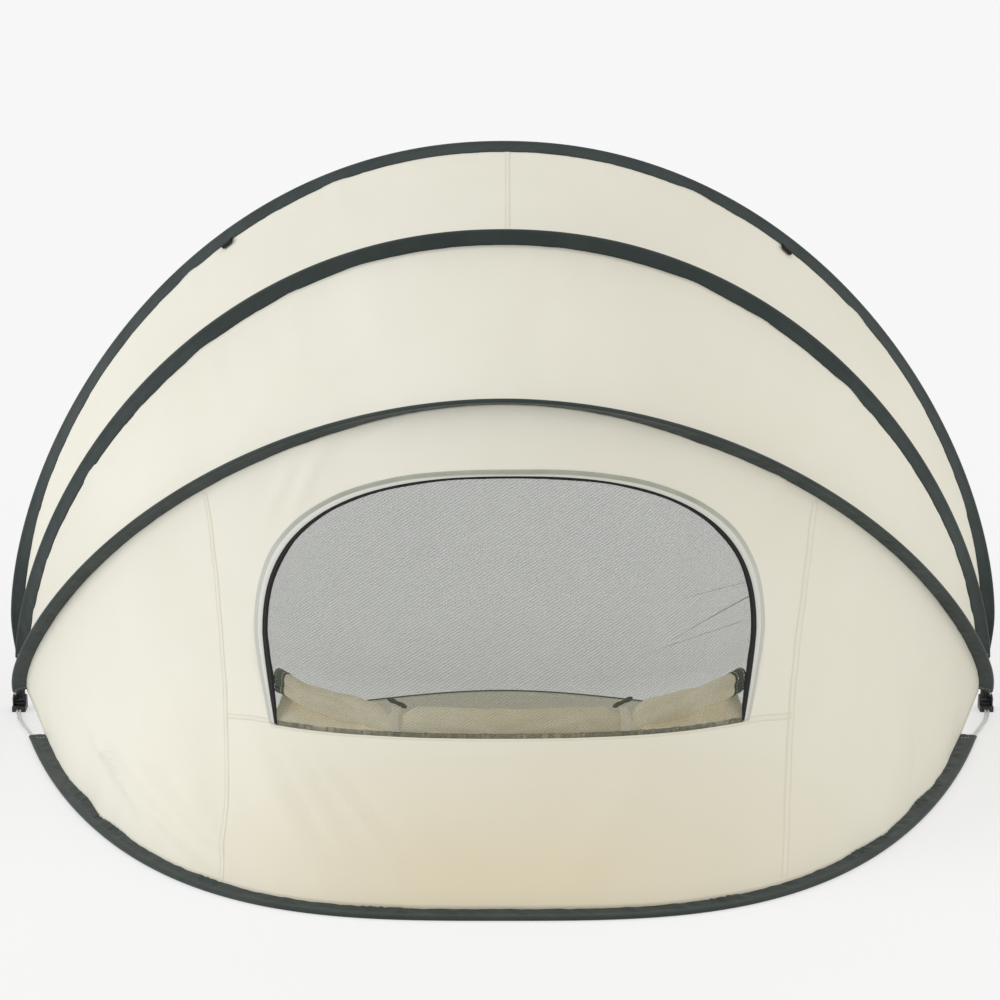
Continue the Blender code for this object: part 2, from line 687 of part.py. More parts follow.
def hinge_block(name, side, material):
    arc = [polar(CHEEK_RADIUS, turn, (0, HINGE_HEIGHT)) for turn in range(0, 181, 20)]
    nose = [polar(FOOT_NOSE, turn, (FOOT_NOSE - SOCKET_REACH, foot_height - FOOT_NOSE))
            for turn in (90, 120, 150, 180)]
    outline = [(CHEEK_RADIUS, 0)] + arc + [(-CHEEK_RADIUS, foot_height)] + nose + [(-SOCKET_REACH, 0)]
    middle = side * HINGE_HALF_SPAN
    block = prism(name, outline, middle - hinge_half_width, middle + hinge_half_width, material)
    edges = block.modifiers.new("edges", "BEVEL")
    edges.width = BLOCK_BEVEL
    edges.segments = 1
    edges.limit_method = "ANGLE"
    edges.angle_limit = math.radians(60)
    over = CHEEK_RADIUS + CUT_OVERRUN
    slot = [(over, foot_height), (over, HINGE_HEIGHT + over),
            (-over, HINGE_HEIGHT + over), (-over, foot_height)]
    cut(block, cutter(name + "_slot", [[(x, y, z) for y, z in slot]
                                       for x in (middle - slot_half_width, middle + slot_half_width)]))
    reach = hinge_half_width + CUT_OVERRUN
    cut(block, round_cutter(name + "_pin_hole", (middle - reach, 0, HINGE_HEIGHT),
                            (middle + reach, 0, HINGE_HEIGHT), PIN_DIAMETER / 2 + CLEARANCE))
    for number, shift in enumerate((-BASE_ROD_PITCH / 2, BASE_ROD_PITCH / 2)):
        x = middle + shift
        cut(block, round_cutter(f"{name}_socket_{number}", (x, -SOCKET_FLOOR, base_rod_height),
                                (x, -SOCKET_REACH - CUT_OVERRUN, base_rod_height), bore_radius))
    return block


def hinge_pin(name, side, material):
    head, shaft, rim = HEAD_DIAMETER / 2, PIN_DIAMETER / 2, hinge_half_width + CLEARANCE
    dome = rim + HEAD_THICKNESS
    half = [(dome, head * HEAD_CROWN_SHARE), (rim + HEAD_THICKNESS / 2, head), (rim, head), (rim, shaft)]
    profile = [(-x, radius) for x, radius in half] + half[::-1]
    rings = [round_ring((side * HINGE_HALF_SPAN + x, 0, HINGE_HEIGHT), (1, 0, 0), radius)
             for x, radius in profile]
    return solid_loft(name, rings, material)


def rod_end(name, hoop, side, material):
    # An eye on the hinge pin with a socket for the rod, in the hoop's own plane
    half = SOCKET_DEPTH_ACROSS / 2
    root = math.degrees(math.asin(half / EYE_RADIUS))
    outline = [polar(EYE_RADIUS, turn) for turn in np.linspace(root, 360 - root, 12)]
    tip = SOCKET_REACH - CLEARANCE
    outline += [(tip - EYE_CHAMFER, -half), (tip, EYE_CHAMFER - half)]
    outline += [(tip, half - EYE_CHAMFER), (tip - EYE_CHAMFER, half)]
    out, up = directions(hoop)
    centre = np.array([side * (HINGE_HALF_SPAN + hoop["layer"] * layer_pitch), 0, HINGE_HEIGHT])
    work = bmesh.new()
    rings = []
    for shift in (-EYE_THICKNESS / 2, EYE_THICKNESS / 2):
        face = centre + np.array([shift, 0, 0])
        rings.append(add_ring(work, [face + out * a + up * b for a, b in outline]))
    join_rings(work, *rings)
    work.faces.new(rings[0])
    work.faces.new(rings[1][::-1])
    item = closed_object(name, work, material)
    reach = np.array([EYE_THICKNESS, 0, 0])
    cut(item, round_cutter(name + "_eye", centre - reach, centre + reach, PIN_DIAMETER / 2 + CLEARANCE))
    cut(item, round_cutter(name + "_socket", centre + out * SOCKET_FLOOR,
                           centre + out * (SOCKET_REACH + CUT_OVERRUN), bore_radius, 6))
    return item


# Tabs for guy lines, sewn into the mouth hem over the rear panel

TAB_PLACE = 0.575            # from the middle of the tent
TAB_WIDTH = 0.026
TAB_LENGTH = 0.017
TAB_THICKNESS = 0.0024
TAB_SHARES = ((0.0, 1.0), (0.5, 1.0), (1.0, 0.62))     # down the tab, and its width there


def guy_tab(name, side, material):
    crown = REAR["length"] / 2
    runs = np.linspace(0, crown, 10 * HOOP_STEPS)
    places = [on_line(REAR, crown + run)[0] for run in runs]
    middle = 0.5 + side * float(np.interp(TAB_PLACE, places, runs)) / REAR["length"]
    lift = CLOTH / 2 + CLEARANCE + TAB_THICKNESS / 2
    depth = np.linalg.norm(seat(REAR, MIDDLE, middle) - seat(MIDDLE, REAR, middle))
    rows = []
    for down, wide in TAB_SHARES:
        row = []
        for edge in (-1, 0, 1):
            share = middle + edge * wide * TAB_WIDTH / 2 / REAR["length"]
            point, normal = panel_point(MIDDLE, REAR, REAR_DRAW_IN, share, 1 - down * TAB_LENGTH / depth)
            row.append(point + normal * lift)
        rows.append(row)
    return strip(name, rows, TAB_THICKNESS, material)


# The three joints: each hoop turns on the hinge line and carries the next one

def hinge_axis(name, carrier):
    axis = bpy.data.objects.new(name, None)
    bpy.context.scene.collection.objects.link(axis)
    axis.empty_display_size = HINGE_HEIGHT
    if carrier is None:
        axis.location.z = HINGE_HEIGHT
    else:
        axis.parent = carrier
    return axis


def hang(axis, items):
    for item in items:
        item.parent = axis
        item.matrix_parent_inverse = Matrix.Translation((0, 0, -HINGE_HEIGHT))


# Building the tent

CREAM = (0.80, 0.77, 0.67)
SLATE = (0.040, 0.056, 0.050)
GREY = (0.42, 0.42, 0.39)
BLACK = (0.012, 0.012, 0.012)
ROD_WHITE = (0.72, 0.72, 0.70)
STEEL = (0.56, 0.57, 0.58)


def build():
    clear_scene()
    cloth = finish_material("tent_cloth", CREAM, 0.75)
    tape = finish_material("sleeve_tape", SLATE, 0.65)
    binding = finish_material("window_binding", GREY, 0.8)
    zip_tape = finish_material("zip_tape", BLACK, 0.7)
    netting = finish_material("netting", GREY, 0.8)
    plastic = finish_material("hinge_plastic", BLACK, 0.4)
    fibre = finish_material("rod_fibre", ROD_WHITE, 0.35)
    metal = finish_material("pin_steel", STEEL, 0.3, 1.0)

    rod("base_rod_inner", BASE, BASE_ROD_PITCH / 2, fibre)
    rod("base_rod_outer", BASE, -BASE_ROD_PITCH / 2, fibre)
    sleeve("base_sleeve", BASE, tape)
    riding = {
        "front": [plain_panel("middle_panel", FRONT, MIDDLE, MIDDLE_DRAW_IN, 3, cloth)],
        "middle": [plain_panel("rear_panel", MIDDLE, REAR, REAR_DRAW_IN, 3, cloth)],
        "rear": [guy_tab("guy_tab_left", -1, zip_tape), guy_tab("guy_tab_right", 1, zip_tape)],
    }
    axis = None
    for label, hoop in (("front", FRONT), ("middle", MIDDLE), ("rear", REAR)):
        axis = hinge_axis(label + "_hoop_axis", axis)
        riding[label].append(rod(label + "_hoop_rod", hoop, 0, fibre))
        riding[label].append(sleeve(label + "_hoop_sleeve", hoop, tape))
        for hand, side in (("left", -1), ("right", 1)):
            riding[label].append(rod_end(f"{label}_rod_end_{hand}", hoop, side, plastic))
        hang(axis, riding[label])
    for hand, side in (("left", -1), ("right", 1)):
        hinge_block("hinge_block_" + hand, side, plastic)
        hinge_pin("hinge_pin_" + hand, side, metal)
        tie_loop("cover_tie_" + hand, side, cloth)
        toggle("cover_toggle_" + hand, side, plastic)

    floor("floor", cloth)
    sill_tape("sill_tape", tape)
    front_panel("front_panel", cloth)
    window_net("window_net", netting)
    window_strip("window_zip", CLEARANCE, ZIP_WIDTH, 0.0, ZIP_THICKNESS, zip_tape)
    window_strip("window_binding", -BINDING_WIDTH, BINDING_LAP,
                 max(CLOTH, ZIP_THICKNESS) / 2 + CLEARANCE + BINDING_THICKNESS / 2, BINDING_THICKNESS, binding)
    cover_roll("cover_roll", cloth)


build()
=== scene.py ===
import math

import bpy
import numpy as np
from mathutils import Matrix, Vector, kdtree


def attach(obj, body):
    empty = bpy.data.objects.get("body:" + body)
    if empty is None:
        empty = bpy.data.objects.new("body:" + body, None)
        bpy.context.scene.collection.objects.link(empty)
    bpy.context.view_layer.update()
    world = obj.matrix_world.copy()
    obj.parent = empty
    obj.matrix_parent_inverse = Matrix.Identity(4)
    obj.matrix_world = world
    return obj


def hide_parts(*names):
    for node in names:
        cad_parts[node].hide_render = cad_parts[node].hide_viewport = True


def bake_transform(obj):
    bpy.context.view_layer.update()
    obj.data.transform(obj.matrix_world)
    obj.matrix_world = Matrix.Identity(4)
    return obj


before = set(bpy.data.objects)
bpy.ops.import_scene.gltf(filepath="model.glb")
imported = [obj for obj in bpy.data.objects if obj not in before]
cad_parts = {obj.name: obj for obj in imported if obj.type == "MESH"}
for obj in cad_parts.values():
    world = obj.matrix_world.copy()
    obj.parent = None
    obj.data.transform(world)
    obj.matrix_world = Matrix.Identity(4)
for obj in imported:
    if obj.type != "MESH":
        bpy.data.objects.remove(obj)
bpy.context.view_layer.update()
scene = bpy.context.scene

# Where the hoops run. A sleeve tips over by its tips, in degrees, at the tipShares of its hoop's reach
tent = {
    "hingeHalfSpan": 0.995, "hingeHeight": 0.02, "joinHeight": 0.19, "socketReach": 0.024, "socketFloor": 0.01,
    "layerPitch": 0.0072, "baseRodHeight": 0.00384, "baseRodPitch": 0.006, "headRadius": 0.0038, "tapeEdge": 0.001,
    "tuck": 0.0025, "tipShares": (0.1, 0.38, 0.6, 0.9, 1.0),
}
hoops = {
    "base": {
        "angle": 0.0, "halfWidth": 0.985, "belly": 0.0, "reach": 1.038, "sideFullness": 3.15, "crownFullness": 1.165,
        "layer": 0, "sleeveStart": 0.17, "width": 0.024, "tips": (2, 8, 8, 14, 12), "body": "base",
        "pucker": 0.0015, "hemSlant": 0.004, "hemInset": 0.016,
    },
    "front": {
        "angle": math.radians(47.4), "halfWidth": 1.0125, "belly": 0.013, "reach": 1.145, "sideFullness": 1.954,
        "crownFullness": 1.359, "layer": 1, "sleeveStart": 0.027, "width": 0.029, "tips": (0, 8, 2, -4, 20),
        "body": "front_hoop", "pucker": 0.0007, "hemSlant": 0.014, "hemInset": 0.0095,
    },
    "middle": {
        "angle": math.radians(69.2), "halfWidth": 0.998, "belly": 0.036, "reach": 1.14, "sideFullness": 2.082,
        "crownFullness": 1.622, "layer": 0, "sleeveStart": 0.105, "width": 0.029, "tips": (-24, -54, -50, -24, -12),
        "body": "middle_hoop", "pucker": 0.0006, "hemSlant": 0.006, "hemInset": 0.0095,
    },
    "rear": {
        "angle": math.radians(90), "halfWidth": 1.002, "belly": 0.175, "reach": 1.157, "sideFullness": 2.084,
        "crownFullness": 1.657, "layer": -1, "sleeveStart": 0.09, "width": 0.029, "tips": (-6, -44, -56, -54, -60),
        "body": "rear_hoop", "pucker": 0.0006, "hemSlant": 0.006, "hemInset": 0.0095,
    },
}


def hoopLine(hoop):
    # From the left socket over the crown to the right one, with the distance run
    foot = tent["hingeHalfSpan"] + hoop["layer"] * tent["layerPitch"]
    rise = hoop["reach"] - hoop["belly"]
    join = math.asin(((tent["joinHeight"] - hoop["belly"]) / rise) ** (hoop["crownFullness"] / 2))
    turn = np.linspace(join, math.pi / 2 - 1e-9, 160)
    x = hoop["halfWidth"] * np.cos(turn) ** (2 / hoop["sideFullness"])
    r = hoop["belly"] + rise * np.sin(turn) ** (2 / hoop["crownFullness"])
    slope = (x[1] - x[0]) / (r[1] - r[0])
    run = r[0] - tent["socketReach"]
    t = np.linspace(0, 1, 24)[:-1]
    start, end = 1 - 3 * t**2 + 2 * t**3, 3 * t**2 - 2 * t**3
    legX = foot * start + x[0] * end + slope * run * (t**3 - t**2)
    half = np.column_stack([np.concatenate([[foot], legX, x]),
                            np.concatenate([[tent["socketFloor"]], tent["socketReach"] + run * t, r])])
    half[-1, 0] = 0
    hoop["line"] = np.vstack([half * (-1, 1), half[::-1][1:]])
    hoop["run"] = np.concatenate([[0], np.cumsum(np.hypot(*np.diff(hoop["line"], axis=0).T))])
    hoop["length"] = hoop["run"][-1]


for each in hoops.values():
    hoopLine(each)


def onLine(hoop, distance):
    return np.column_stack([np.interp(distance, hoop["run"], hoop["line"][:, k]) for k in (0, 1)])


def unit(way):
    return way / np.linalg.norm(way, axis=1)[:, None]


def dot(one, two):
    return (one * two).sum(axis=1)[:, None]


def hoopFrame(hoop, distance):
    # Points on the rod, with the directions inwards and upwards there, and how far out they are
    distance = np.atleast_1d(distance).astype(float)
    step = hoop["length"] / 720
    place = onLine(hoop, distance)
    along = unit(onLine(hoop, distance + step) - onLine(hoop, distance - step))
    c, s = math.cos(hoop["angle"]), math.sin(hoop["angle"])
    out, up = np.array([0, -c, s]), np.array([0, s, c])
    height = tent["baseRodHeight"] if hoop is hoops["base"] else tent["hingeHeight"]
    point = place[:, :1] * (1, 0, 0) + (0, 0, height) + place[:, 1:] * out
    inward = along[:, 1:] * (1, 0, 0) - along[:, :1] * out
    return point, inward, up, place[:, 1]


def waves(distance, lengths, phase):
    # A few wave lengths laid over each other, so that nothing repeats in sight
    return sum(np.sin(2 * math.pi * distance / length + phase * (n + 1.7))
               for n, length in enumerate(lengths)) / len(lengths)


# Where the base sleeve bunches up: place along it, half length, extra width
bunches = [(0.13, 0.032, 0.0055), (0.165, 0.014, -0.0035), (0.19, 0.022, 0.003), (0.3, 0.02, 0.0016),
           (0.42, 0.03, 0.0012), (0.64, 0.025, 0.0018), (0.765, 0.022, 0.003), (0.8, 0.016, -0.0024),
           (0.865, 0.028, 0.0042), (0.895, 0.016, -0.0026)]


def sleeveDistance(hoop, share):
    return hoop["sleeveStart"] + (hoop["length"] - 2 * hoop["sleeveStart"]) * np.asarray(share, float)


def bunched(hoop, distance, spread):
    # How near each bunch is, with the bunch's extra width; only the base sleeve has any
    if hoop is not hoops["base"]:
        return []
    share = (distance - hoop["sleeveStart"]) / (hoop["length"] - 2 * hoop["sleeveStart"])
    return [(np.exp(-((share - place) * hoop["length"] / (half * spread)) ** 2), extra)
            for place, half, extra in bunches]


def sleeveSpread(hoop, distance):
    # How wide the sleeve is, from the rod to its seam
    wide = hoop["width"] + 0.0004 * waves(distance, (0.31, 0.17, 0.093), hoop["reach"] * 7)
    return wide + sum(near * extra for near, extra in bunched(hoop, distance, 2))


def sleeveFrame(hoop, distance):
    # The sleeve's middle plane: points on the rod, the way to the seam, and the way out of its upper face
    point, inward, up, r = hoopFrame(hoop, distance)
    tip = np.radians(np.interp(r / hoop["reach"], tent["tipShares"], hoop["tips"]))[:, None]
    if hoop is hoops["base"]:
        point = point + inward * tent["baseRodPitch"] / 2
    return point, inward * np.cos(tip) + up * np.sin(tip), up * np.cos(tip) - inward * np.sin(tip)


def seamPoint(hoop, distance, inset=0.0):
    point, way, face = sleeveFrame(hoop, distance)
    return point + way * (sleeveSpread(hoop, np.atleast_1d(distance)) - inset)[:, None], way, face


def metres(rows):
    return [tuple(value / 1000 for value in row) for row in rows]


bothSides = (("Left", -1), ("Right", 1))


# The cloth between the hoops. Creases run from x, z to x, z, with half width and height, in millimetres
panels = {
    "front": {
        "lower": hoops["base"], "upper": hoops["front"], "drawIn": 0.03, "size": (2.9, 0.98), "aside": 0.012,
        "creases": metres([
            (-360, 270, -180, 75, 13, 6.2), (-400, 262, -265, 80, 16, 6.0), (-310, 262, -75, 95, 22, 5.0),
            (-455, 262, -345, 110, 20, 6.4), (-475, 210, -300, 60, 24, 6.6), (-790, 120, -520, 35, 12, 7.0),
            (-820, 150, -640, 45, 14, 6.8), (-700, 150, -485, 55, 14, 7.6), (-620, 190, -500, 70, 18, 6.0),
            (-660, 330, -540, 150, 28, 4.8), (-780, 340, -640, 160, 24, 2.6), (-310, 790, -380, 620, 14, 4.0),
            (-365, 745, -430, 610, 12, 3.0), (-420, 730, -320, 770, 10, 2.6), (865, 170, 850, 10, 10, 5.0),
            (905, 120, 865, 10, 10, 4.0), (800, 210, 715, 50, 16, 3.6), (830, 180, 775, 30, 12, -3.0),
            (560, 230, 490, 50, 22, 2.6), (250, 240, 120, 50, 34, 2.4), (470, 660, 570, 730, 14, 3.0),
            (620, 420, 560, 200, 30, 2.4), (-150, 830, -260, 760, 20, 2.6), (220, 830, 90, 775, 16, 2.2),
            (350, 735, 470, 640, 14, 2.2), (-560, 560, -470, 360, 30, 2.2)]),
    },
    "middle": {
        "lower": hoops["front"], "upper": hoops["middle"], "drawIn": 0.01, "size": (3.1, 0.42),
        "creases": metres([
            (-500, 760, -630, 920, 26, 3.0), (-200, 880, -280, 1030, 36, 2.8), (280, 880, 380, 1030, 32, 3.0),
            (600, 720, 760, 840, 22, 2.8), (50, 880, 80, 1040, 30, -2.2), (-740, 540, -880, 620, 18, 2.6),
            (-360, 820, -400, 980, 20, 2.0), (460, 820, 500, 950, 18, 2.0)]),
    },
    "rear": {
        "lower": hoops["middle"], "upper": hoops["rear"], "drawIn": 0.008, "size": (3.1, 0.42),
        "creases": metres([
            (-280, 1040, -360, 1140, 20, 2.2), (320, 1030, 420, 1130, 22, 2.4), (-580, 880, -660, 970, 16, 2.0),
            (680, 820, 760, 900, 16, 2.0)]),
    },
}


def easy(t):
    t = np.clip(t, 0, 1)
    return t * t * (3 - 2 * t)


def seat(hoop, other, share):
    # Where the cloth is sewn: inside the sleeve's tape, or over its edge where the cloth turns back
    seam, way, face = seamPoint(hoop, sleeveDistance(hoop, share))
    along = np.cross(way, face)
    pull = seamPoint(other, sleeveDistance(other, share))[0] - seam
    pull = unit(pull - along * dot(pull, along))
    inside = easy((dot(pull, way) + 0.05) / 0.25)
    over = np.minimum(0.0014 / np.maximum(np.abs(dot(pull, face)), 0.2), 0.005)
    off = 0.0004 * inside + over * (1 - inside)
    return seam - way * tent["tuck"] * inside + pull * off


def panelShape(panel, share, rise):
    low, high = panel["lower"], panel["upper"]
    rise = np.asarray(rise, float)[:, None]
    first, last = seat(low, high, share), seat(high, low, share)
    step = 1 / 720
    ahead, behind = np.minimum(share + step, 1), np.maximum(share - step, 0)
    along = sum(seat(one, two, ahead) - seat(one, two, behind) for one, two in ((low, high), (high, low)))
    normal = unit(np.cross(along, last - first))
    bow = 4 * rise * (1 - rise) * np.sqrt(np.abs(np.sin(math.pi * share)))[:, None]
    return first + (last - first) * rise - normal * panel["drawIn"] * bow, normal


def creaseHeight(panel, point, share, rise):
    # Drag creases, and small puckers along both seams that die out within a hand's width
    x, z = point[:, 0], point[:, 2]
    height = np.zeros(len(x))
    for x0, z0, x1, z1, width, rised in panel["creases"]:
        dx, dz = x1 - x0, z1 - z0
        long = math.hypot(dx, dz)
        t = ((x - x0) * dx + (z - z0) * dz) / long**2
        off = ((x - x0) * dz - (z - z0) * dx) / long
        height += rised * np.exp(-(off / width) ** 2) * np.exp(-(np.abs(t - 0.5) / 0.5) ** 3)
    run = share * panel["size"][0]
    for edge, phase in ((rise, 1.3), (1 - rise, 4.1)):
        fade = np.exp(-edge * panel["size"][1] / 0.045) * np.minimum(edge * 30, 1)
        height += 0.0017 * fade * waves(run, (0.073, 0.047, 0.113), phase + panel["drawIn"] * 90)
    return height + 0.001 * waves(run + z * 0.6, (0.61, 0.37), 2.0) * np.sin(math.pi * rise)


def panelSurface(panel, share, rise, lift=0.0):
    share, rise = np.asarray(share, float), np.asarray(rise, float)
    point, normal = panelShape(panel, share, rise)
    return point + normal * (creaseHeight(panel, point, share, rise) + lift)[:, None]


def onFront(x, z):
    # The place on the front panel with this x and height; all its sewn work sits a little to the right
    panel = panels["front"]
    x, z = np.asarray(x, float) + panel["aside"], np.asarray(z, float)
    share, rise = 0.5 + x / hoops["base"]["length"], z / hoops["front"]["reach"]
    step = 1e-4
    for _ in range(7):
        here = panelShape(panel, share, rise)[0]
        side = (panelShape(panel, share + step, rise)[0] - here) / step
        over = (panelShape(panel, share, rise + step)[0] - here) / step
        missX, missZ = x - here[:, 0], z - here[:, 2]
        det = side[:, 0] * over[:, 2] - over[:, 0] * side[:, 2]
        share = share + (missX * over[:, 2] - over[:, 0] * missZ) / det
        rise = rise + (side[:, 0] * missZ - missX * side[:, 2]) / det
    return share, rise


def frontSurface(x, z, lift=0.0):
    return panelSurface(panels["front"], *onFront(x, z), lift)


def addObject(name, data):
    item = bpy.data.objects.new(name, data)
    scene.collection.objects.link(item)
    return item


def addPiece(name, points, faces, material, uv=None, solid=0.0, offset=0.0):
    mesh = bpy.data.meshes.new(name)
    mesh.from_pydata([tuple(p) for p in points], [], [tuple(f) for f in faces])
    mesh.update()
    if uv is not None:
        layer = mesh.uv_layers.new(name="clothMetres")
        corner = np.zeros(len(mesh.loops), np.int32)
        mesh.loops.foreach_get("vertex_index", corner)
        layer.data.foreach_set("uv", np.asarray(uv, np.float32)[corner].ravel())
    mesh.shade_smooth()
    mesh.materials.append(material)
    piece = addObject(name, mesh)
    if solid:
        wall = piece.modifiers.new("thickness", "SOLIDIFY")
        wall.thickness, wall.offset, wall.use_even_offset = solid, offset, False
    return piece


def gridFaces(rows, columns, wrap=False):
    i, j = np.meshgrid(np.arange(rows - 1), np.arange(columns if wrap else columns - 1), indexing="ij")
    k = (j + 1) % columns
    return np.stack([i * columns + j, i * columns + k, (i + 1) * columns + k, (i + 1) * columns + j],
                    axis=-1).reshape(-1, 4)


def gridUv(points):
    # Metres run along and across the grid
    u, v = np.zeros(points.shape[:2]), np.zeros(points.shape[:2])
    u[:, 1:] = np.cumsum(np.linalg.norm(np.diff(points, axis=1), axis=2), axis=1)
    v[1:] = np.cumsum(np.linalg.norm(np.diff(points, axis=0), axis=2), axis=0)
    u -= u[:, -1:] / 2
    return np.stack([u, v], axis=-1).reshape(-1, 2)


def gridPiece(name, points, material, solid=0.0, offset=0.0, flip=False):
    points = np.asarray(points)
    faces = gridFaces(*points.shape[:2])
    if flip:
        faces = faces[:, ::-1]
    return addPiece(name, points.reshape(-1, 3), faces, material, gridUv(points), solid, offset)


def panelTree(panel):
    # Sample points of a panel, to look up how far up the cloth a place is
    share, rise = np.meshgrid(np.linspace(0, 1, 200), np.linspace(0, 1, 50), indexing="ij")
    points = panelShape(panel, share.ravel(), rise.ravel())[0]
    tree = kdtree.KDTree(len(points))
    for number, point in enumerate(points):
        tree.insert(point, number)
    tree.balance()
    return tree, rise.ravel()


def fold(piece, name="front", weights=None, node=None):
    # The cloth fans out between its two hoops; this finds each point's share of the way up its panel, though nothing
    # uses it, then hides the given CAD node and bakes the piece's transform
    panel = panels[name]
    if weights is None:
        if "tree" not in panel:
            panel["tree"] = panelTree(panel)
        tree, rises = panel["tree"]
        weights = [rises[tree.find(vertex.co)[1]] for vertex in piece.data.vertices]
    if node:
        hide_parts(node)
    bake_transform(piece)
    return piece


# Materials


def put(tree, socket, value):
    # Links a socket, or sets its value
    if isinstance(value, bpy.types.NodeSocket):
        tree.links.new(value, socket)
    else:
        socket.default_value = (*value, 1) if socket.type == "RGBA" else value


def fill(tree, sockets, **named):
    # An underscore in a name stands for a space
    for name, value in named.items():
        put(tree, sockets[name.replace("_", " ")], value)


def addNode(tree, kind, *values, **named):
    made = tree.nodes.new(kind)
    for socket, value in zip(made.inputs, values):
        put(tree, socket, value)
    fill(tree, made.inputs, **named)
    return made


def reckon(tree, operation, *values):
    made = addNode(tree, "ShaderNodeMath", *values)
    made.operation = operation
    return made.outputs[0]


def newGroup(name, kind, inputs, outputs):
    # Inputs are kind, name and default, outputs are kind and name
    tree = bpy.data.node_groups.new(name, kind)
    for form, label, default in inputs:
        socket = tree.interface.new_socket(label, in_out="INPUT", socket_type="NodeSocket" + form)
        if default is not None:
            socket.default_value = default
    for form, label in outputs:
        tree.interface.new_socket(label, in_out="OUTPUT", socket_type="NodeSocket" + form)
    return tree, tree.nodes.new("NodeGroupInput").outputs, tree.nodes.new("NodeGroupOutput").inputs


def weaveGroup():
    # Crossing threads: height for bumps, cover where a thread lies
    tree, start, end = newGroup(
        "crossingThreads", "ShaderNodeTree",
        [("Vector", "Vector", None), ("Float", "Pitch", 0.001), ("Float", "Thread Share", 0.5)],
        [("Float", "Height"), ("Float", "Cover")])
    split = addNode(tree, "ShaderNodeSeparateXYZ", start["Vector"]).outputs
    runs = [reckon(tree, "DIVIDE", split[axis], start["Pitch"]) for axis in "XY"]
    sines = [reckon(tree, "SINE", reckon(tree, "MULTIPLY", run, 2 * math.pi)) for run in runs]
    covers = [reckon(tree, "LESS_THAN", reckon(tree, "FRACT", run), start["Thread Share"]) for run in runs]
    put(tree, end["Height"], reckon(tree, "MULTIPLY_ADD", reckon(tree, "MULTIPLY", *sines), 0.5, 0.5))
    put(tree, end["Cover"], reckon(tree, "MAXIMUM", *covers))
    return tree


def mottleGroup():
    # Slow patches and fine specks, from 0 to 1
    tree, start, end = newGroup(
        "patchesAndSpecks", "ShaderNodeTree",
        [("Vector", "Vector", None), ("Float", "Patch Scale", 4.0), ("Float", "Speck Scale", 300.0)],
        [("Float", "Patches"), ("Float", "Specks")])
    for scale, out, detail in (("Patch Scale", "Patches", 4), ("Speck Scale", "Specks", 2)):
        noise = addNode(tree, "ShaderNodeTexNoise", Vector=start["Vector"], Scale=start[scale], Detail=detail)
        put(tree, end[out], noise.outputs["Fac"])
    return tree


threads, mottle = weaveGroup(), mottleGroup()


def newMaterial(name):
    material = bpy.data.materials.new(name)
    material.use_nodes = True
    tree = material.node_tree
    return material, tree, tree.nodes["Principled BSDF"].inputs


def place(tree, kind):
    return tree.nodes.new("ShaderNodeTexCoord").outputs[kind]


def axisOf(tree, kind, axis):
    return addNode(tree, "ShaderNodeSeparateXYZ", place(tree, kind)).outputs[axis]


def useGroup(tree, group, vector, **values):
    made = tree.nodes.new("ShaderNodeGroup")
    made.node_tree = group
    fill(tree, made.inputs, Vector=vector, **values)
    return made.outputs


def blendColour(tree, factor, first, second):
    mix = tree.nodes.new("ShaderNodeMix")
    mix.data_type = "RGBA"
    for index, value in ((0, factor), (6, first), (7, second)):
        put(tree, mix.inputs[index], value)
    return mix.outputs[2]


def spanned(tree, value, low, high, toLow=0.0, toHigh=1.0):
    return addNode(tree, "ShaderNodeMapRange", Value=value, From_Min=low, From_Max=high, To_Min=toLow,
                   To_Max=toHigh).outputs["Result"]


def bump(tree, height, distance, strength, **after):
    return addNode(tree, "ShaderNodeBump", Height=height, Distance=distance, Strength=strength, **after).outputs[0]


def paintedThroughGlow(material, amount, colour):
    # Painted glow: emission that stands in for the light reaching the cloth through the thin walls of the tent
    tree = material.node_tree
    fill(tree, tree.nodes["Principled BSDF"].inputs, Emission_Color=colour, Emission_Strength=amount)


def paintedWarmLightMask(tree):
    # Mask for painted warm light: 1 low in the middle of the front wall, where light through the cloth and off the
    # floor warms it, and 0 farther out
    low = spanned(tree, axisOf(tree, "Object", "Z"), 0.34, 0.08)
    near = spanned(tree, reckon(tree, "ABSOLUTE", axisOf(tree, "Object", "X")), 0.72, 0.15)
    return reckon(tree, "MULTIPLY", low, near)


def clothMaterial(name, colour, shade, look):
    # Woven cloth: look has the weave's pitch and depth, and the cloth's wrinkle, roughness, sheen and patches, and can
    # hold a painted warm light colour
    material, tree, shader = newMaterial(name)
    weave = useGroup(tree, threads, place(tree, "UV"), Pitch=look["pitch"])
    spots = useGroup(tree, mottle, place(tree, "Object"), Patch_Scale=look["patch"], Speck_Scale=420.0)
    tone = blendColour(tree, spanned(tree, spots["Patches"], 0.35, 0.65), colour, shade)
    fine = spanned(tree, spots["Specks"], 0.3, 0.75, 0.0, look["fleck"])
    tone = blendColour(tree, fine, tone, tuple(c * 0.86 for c in shade))
    # Painted warm light: the colour is blended in low in the middle of the front wall, standing in for light through
    # the cloth and off the floor
    if "paintedWarmLight" in look:
        tone = blendColour(tree, paintedWarmLightMask(tree), tone, look["paintedWarmLight"])
    rough = spanned(tree, spots["Patches"], 0.3, 0.7, look["rough"] - 0.05, look["rough"] + 0.05)
    soft = bump(tree, spots["Patches"], look["wrinkle"], 0.6)
    fill(tree, shader, Base_Color=tone, Roughness=rough, Sheen_Weight=look["sheen"], Sheen_Roughness=0.5,
         Specular_IOR_Level=0.3, Normal=bump(tree, weave["Height"], look["depth"], 0.5, Normal=soft))
    return material


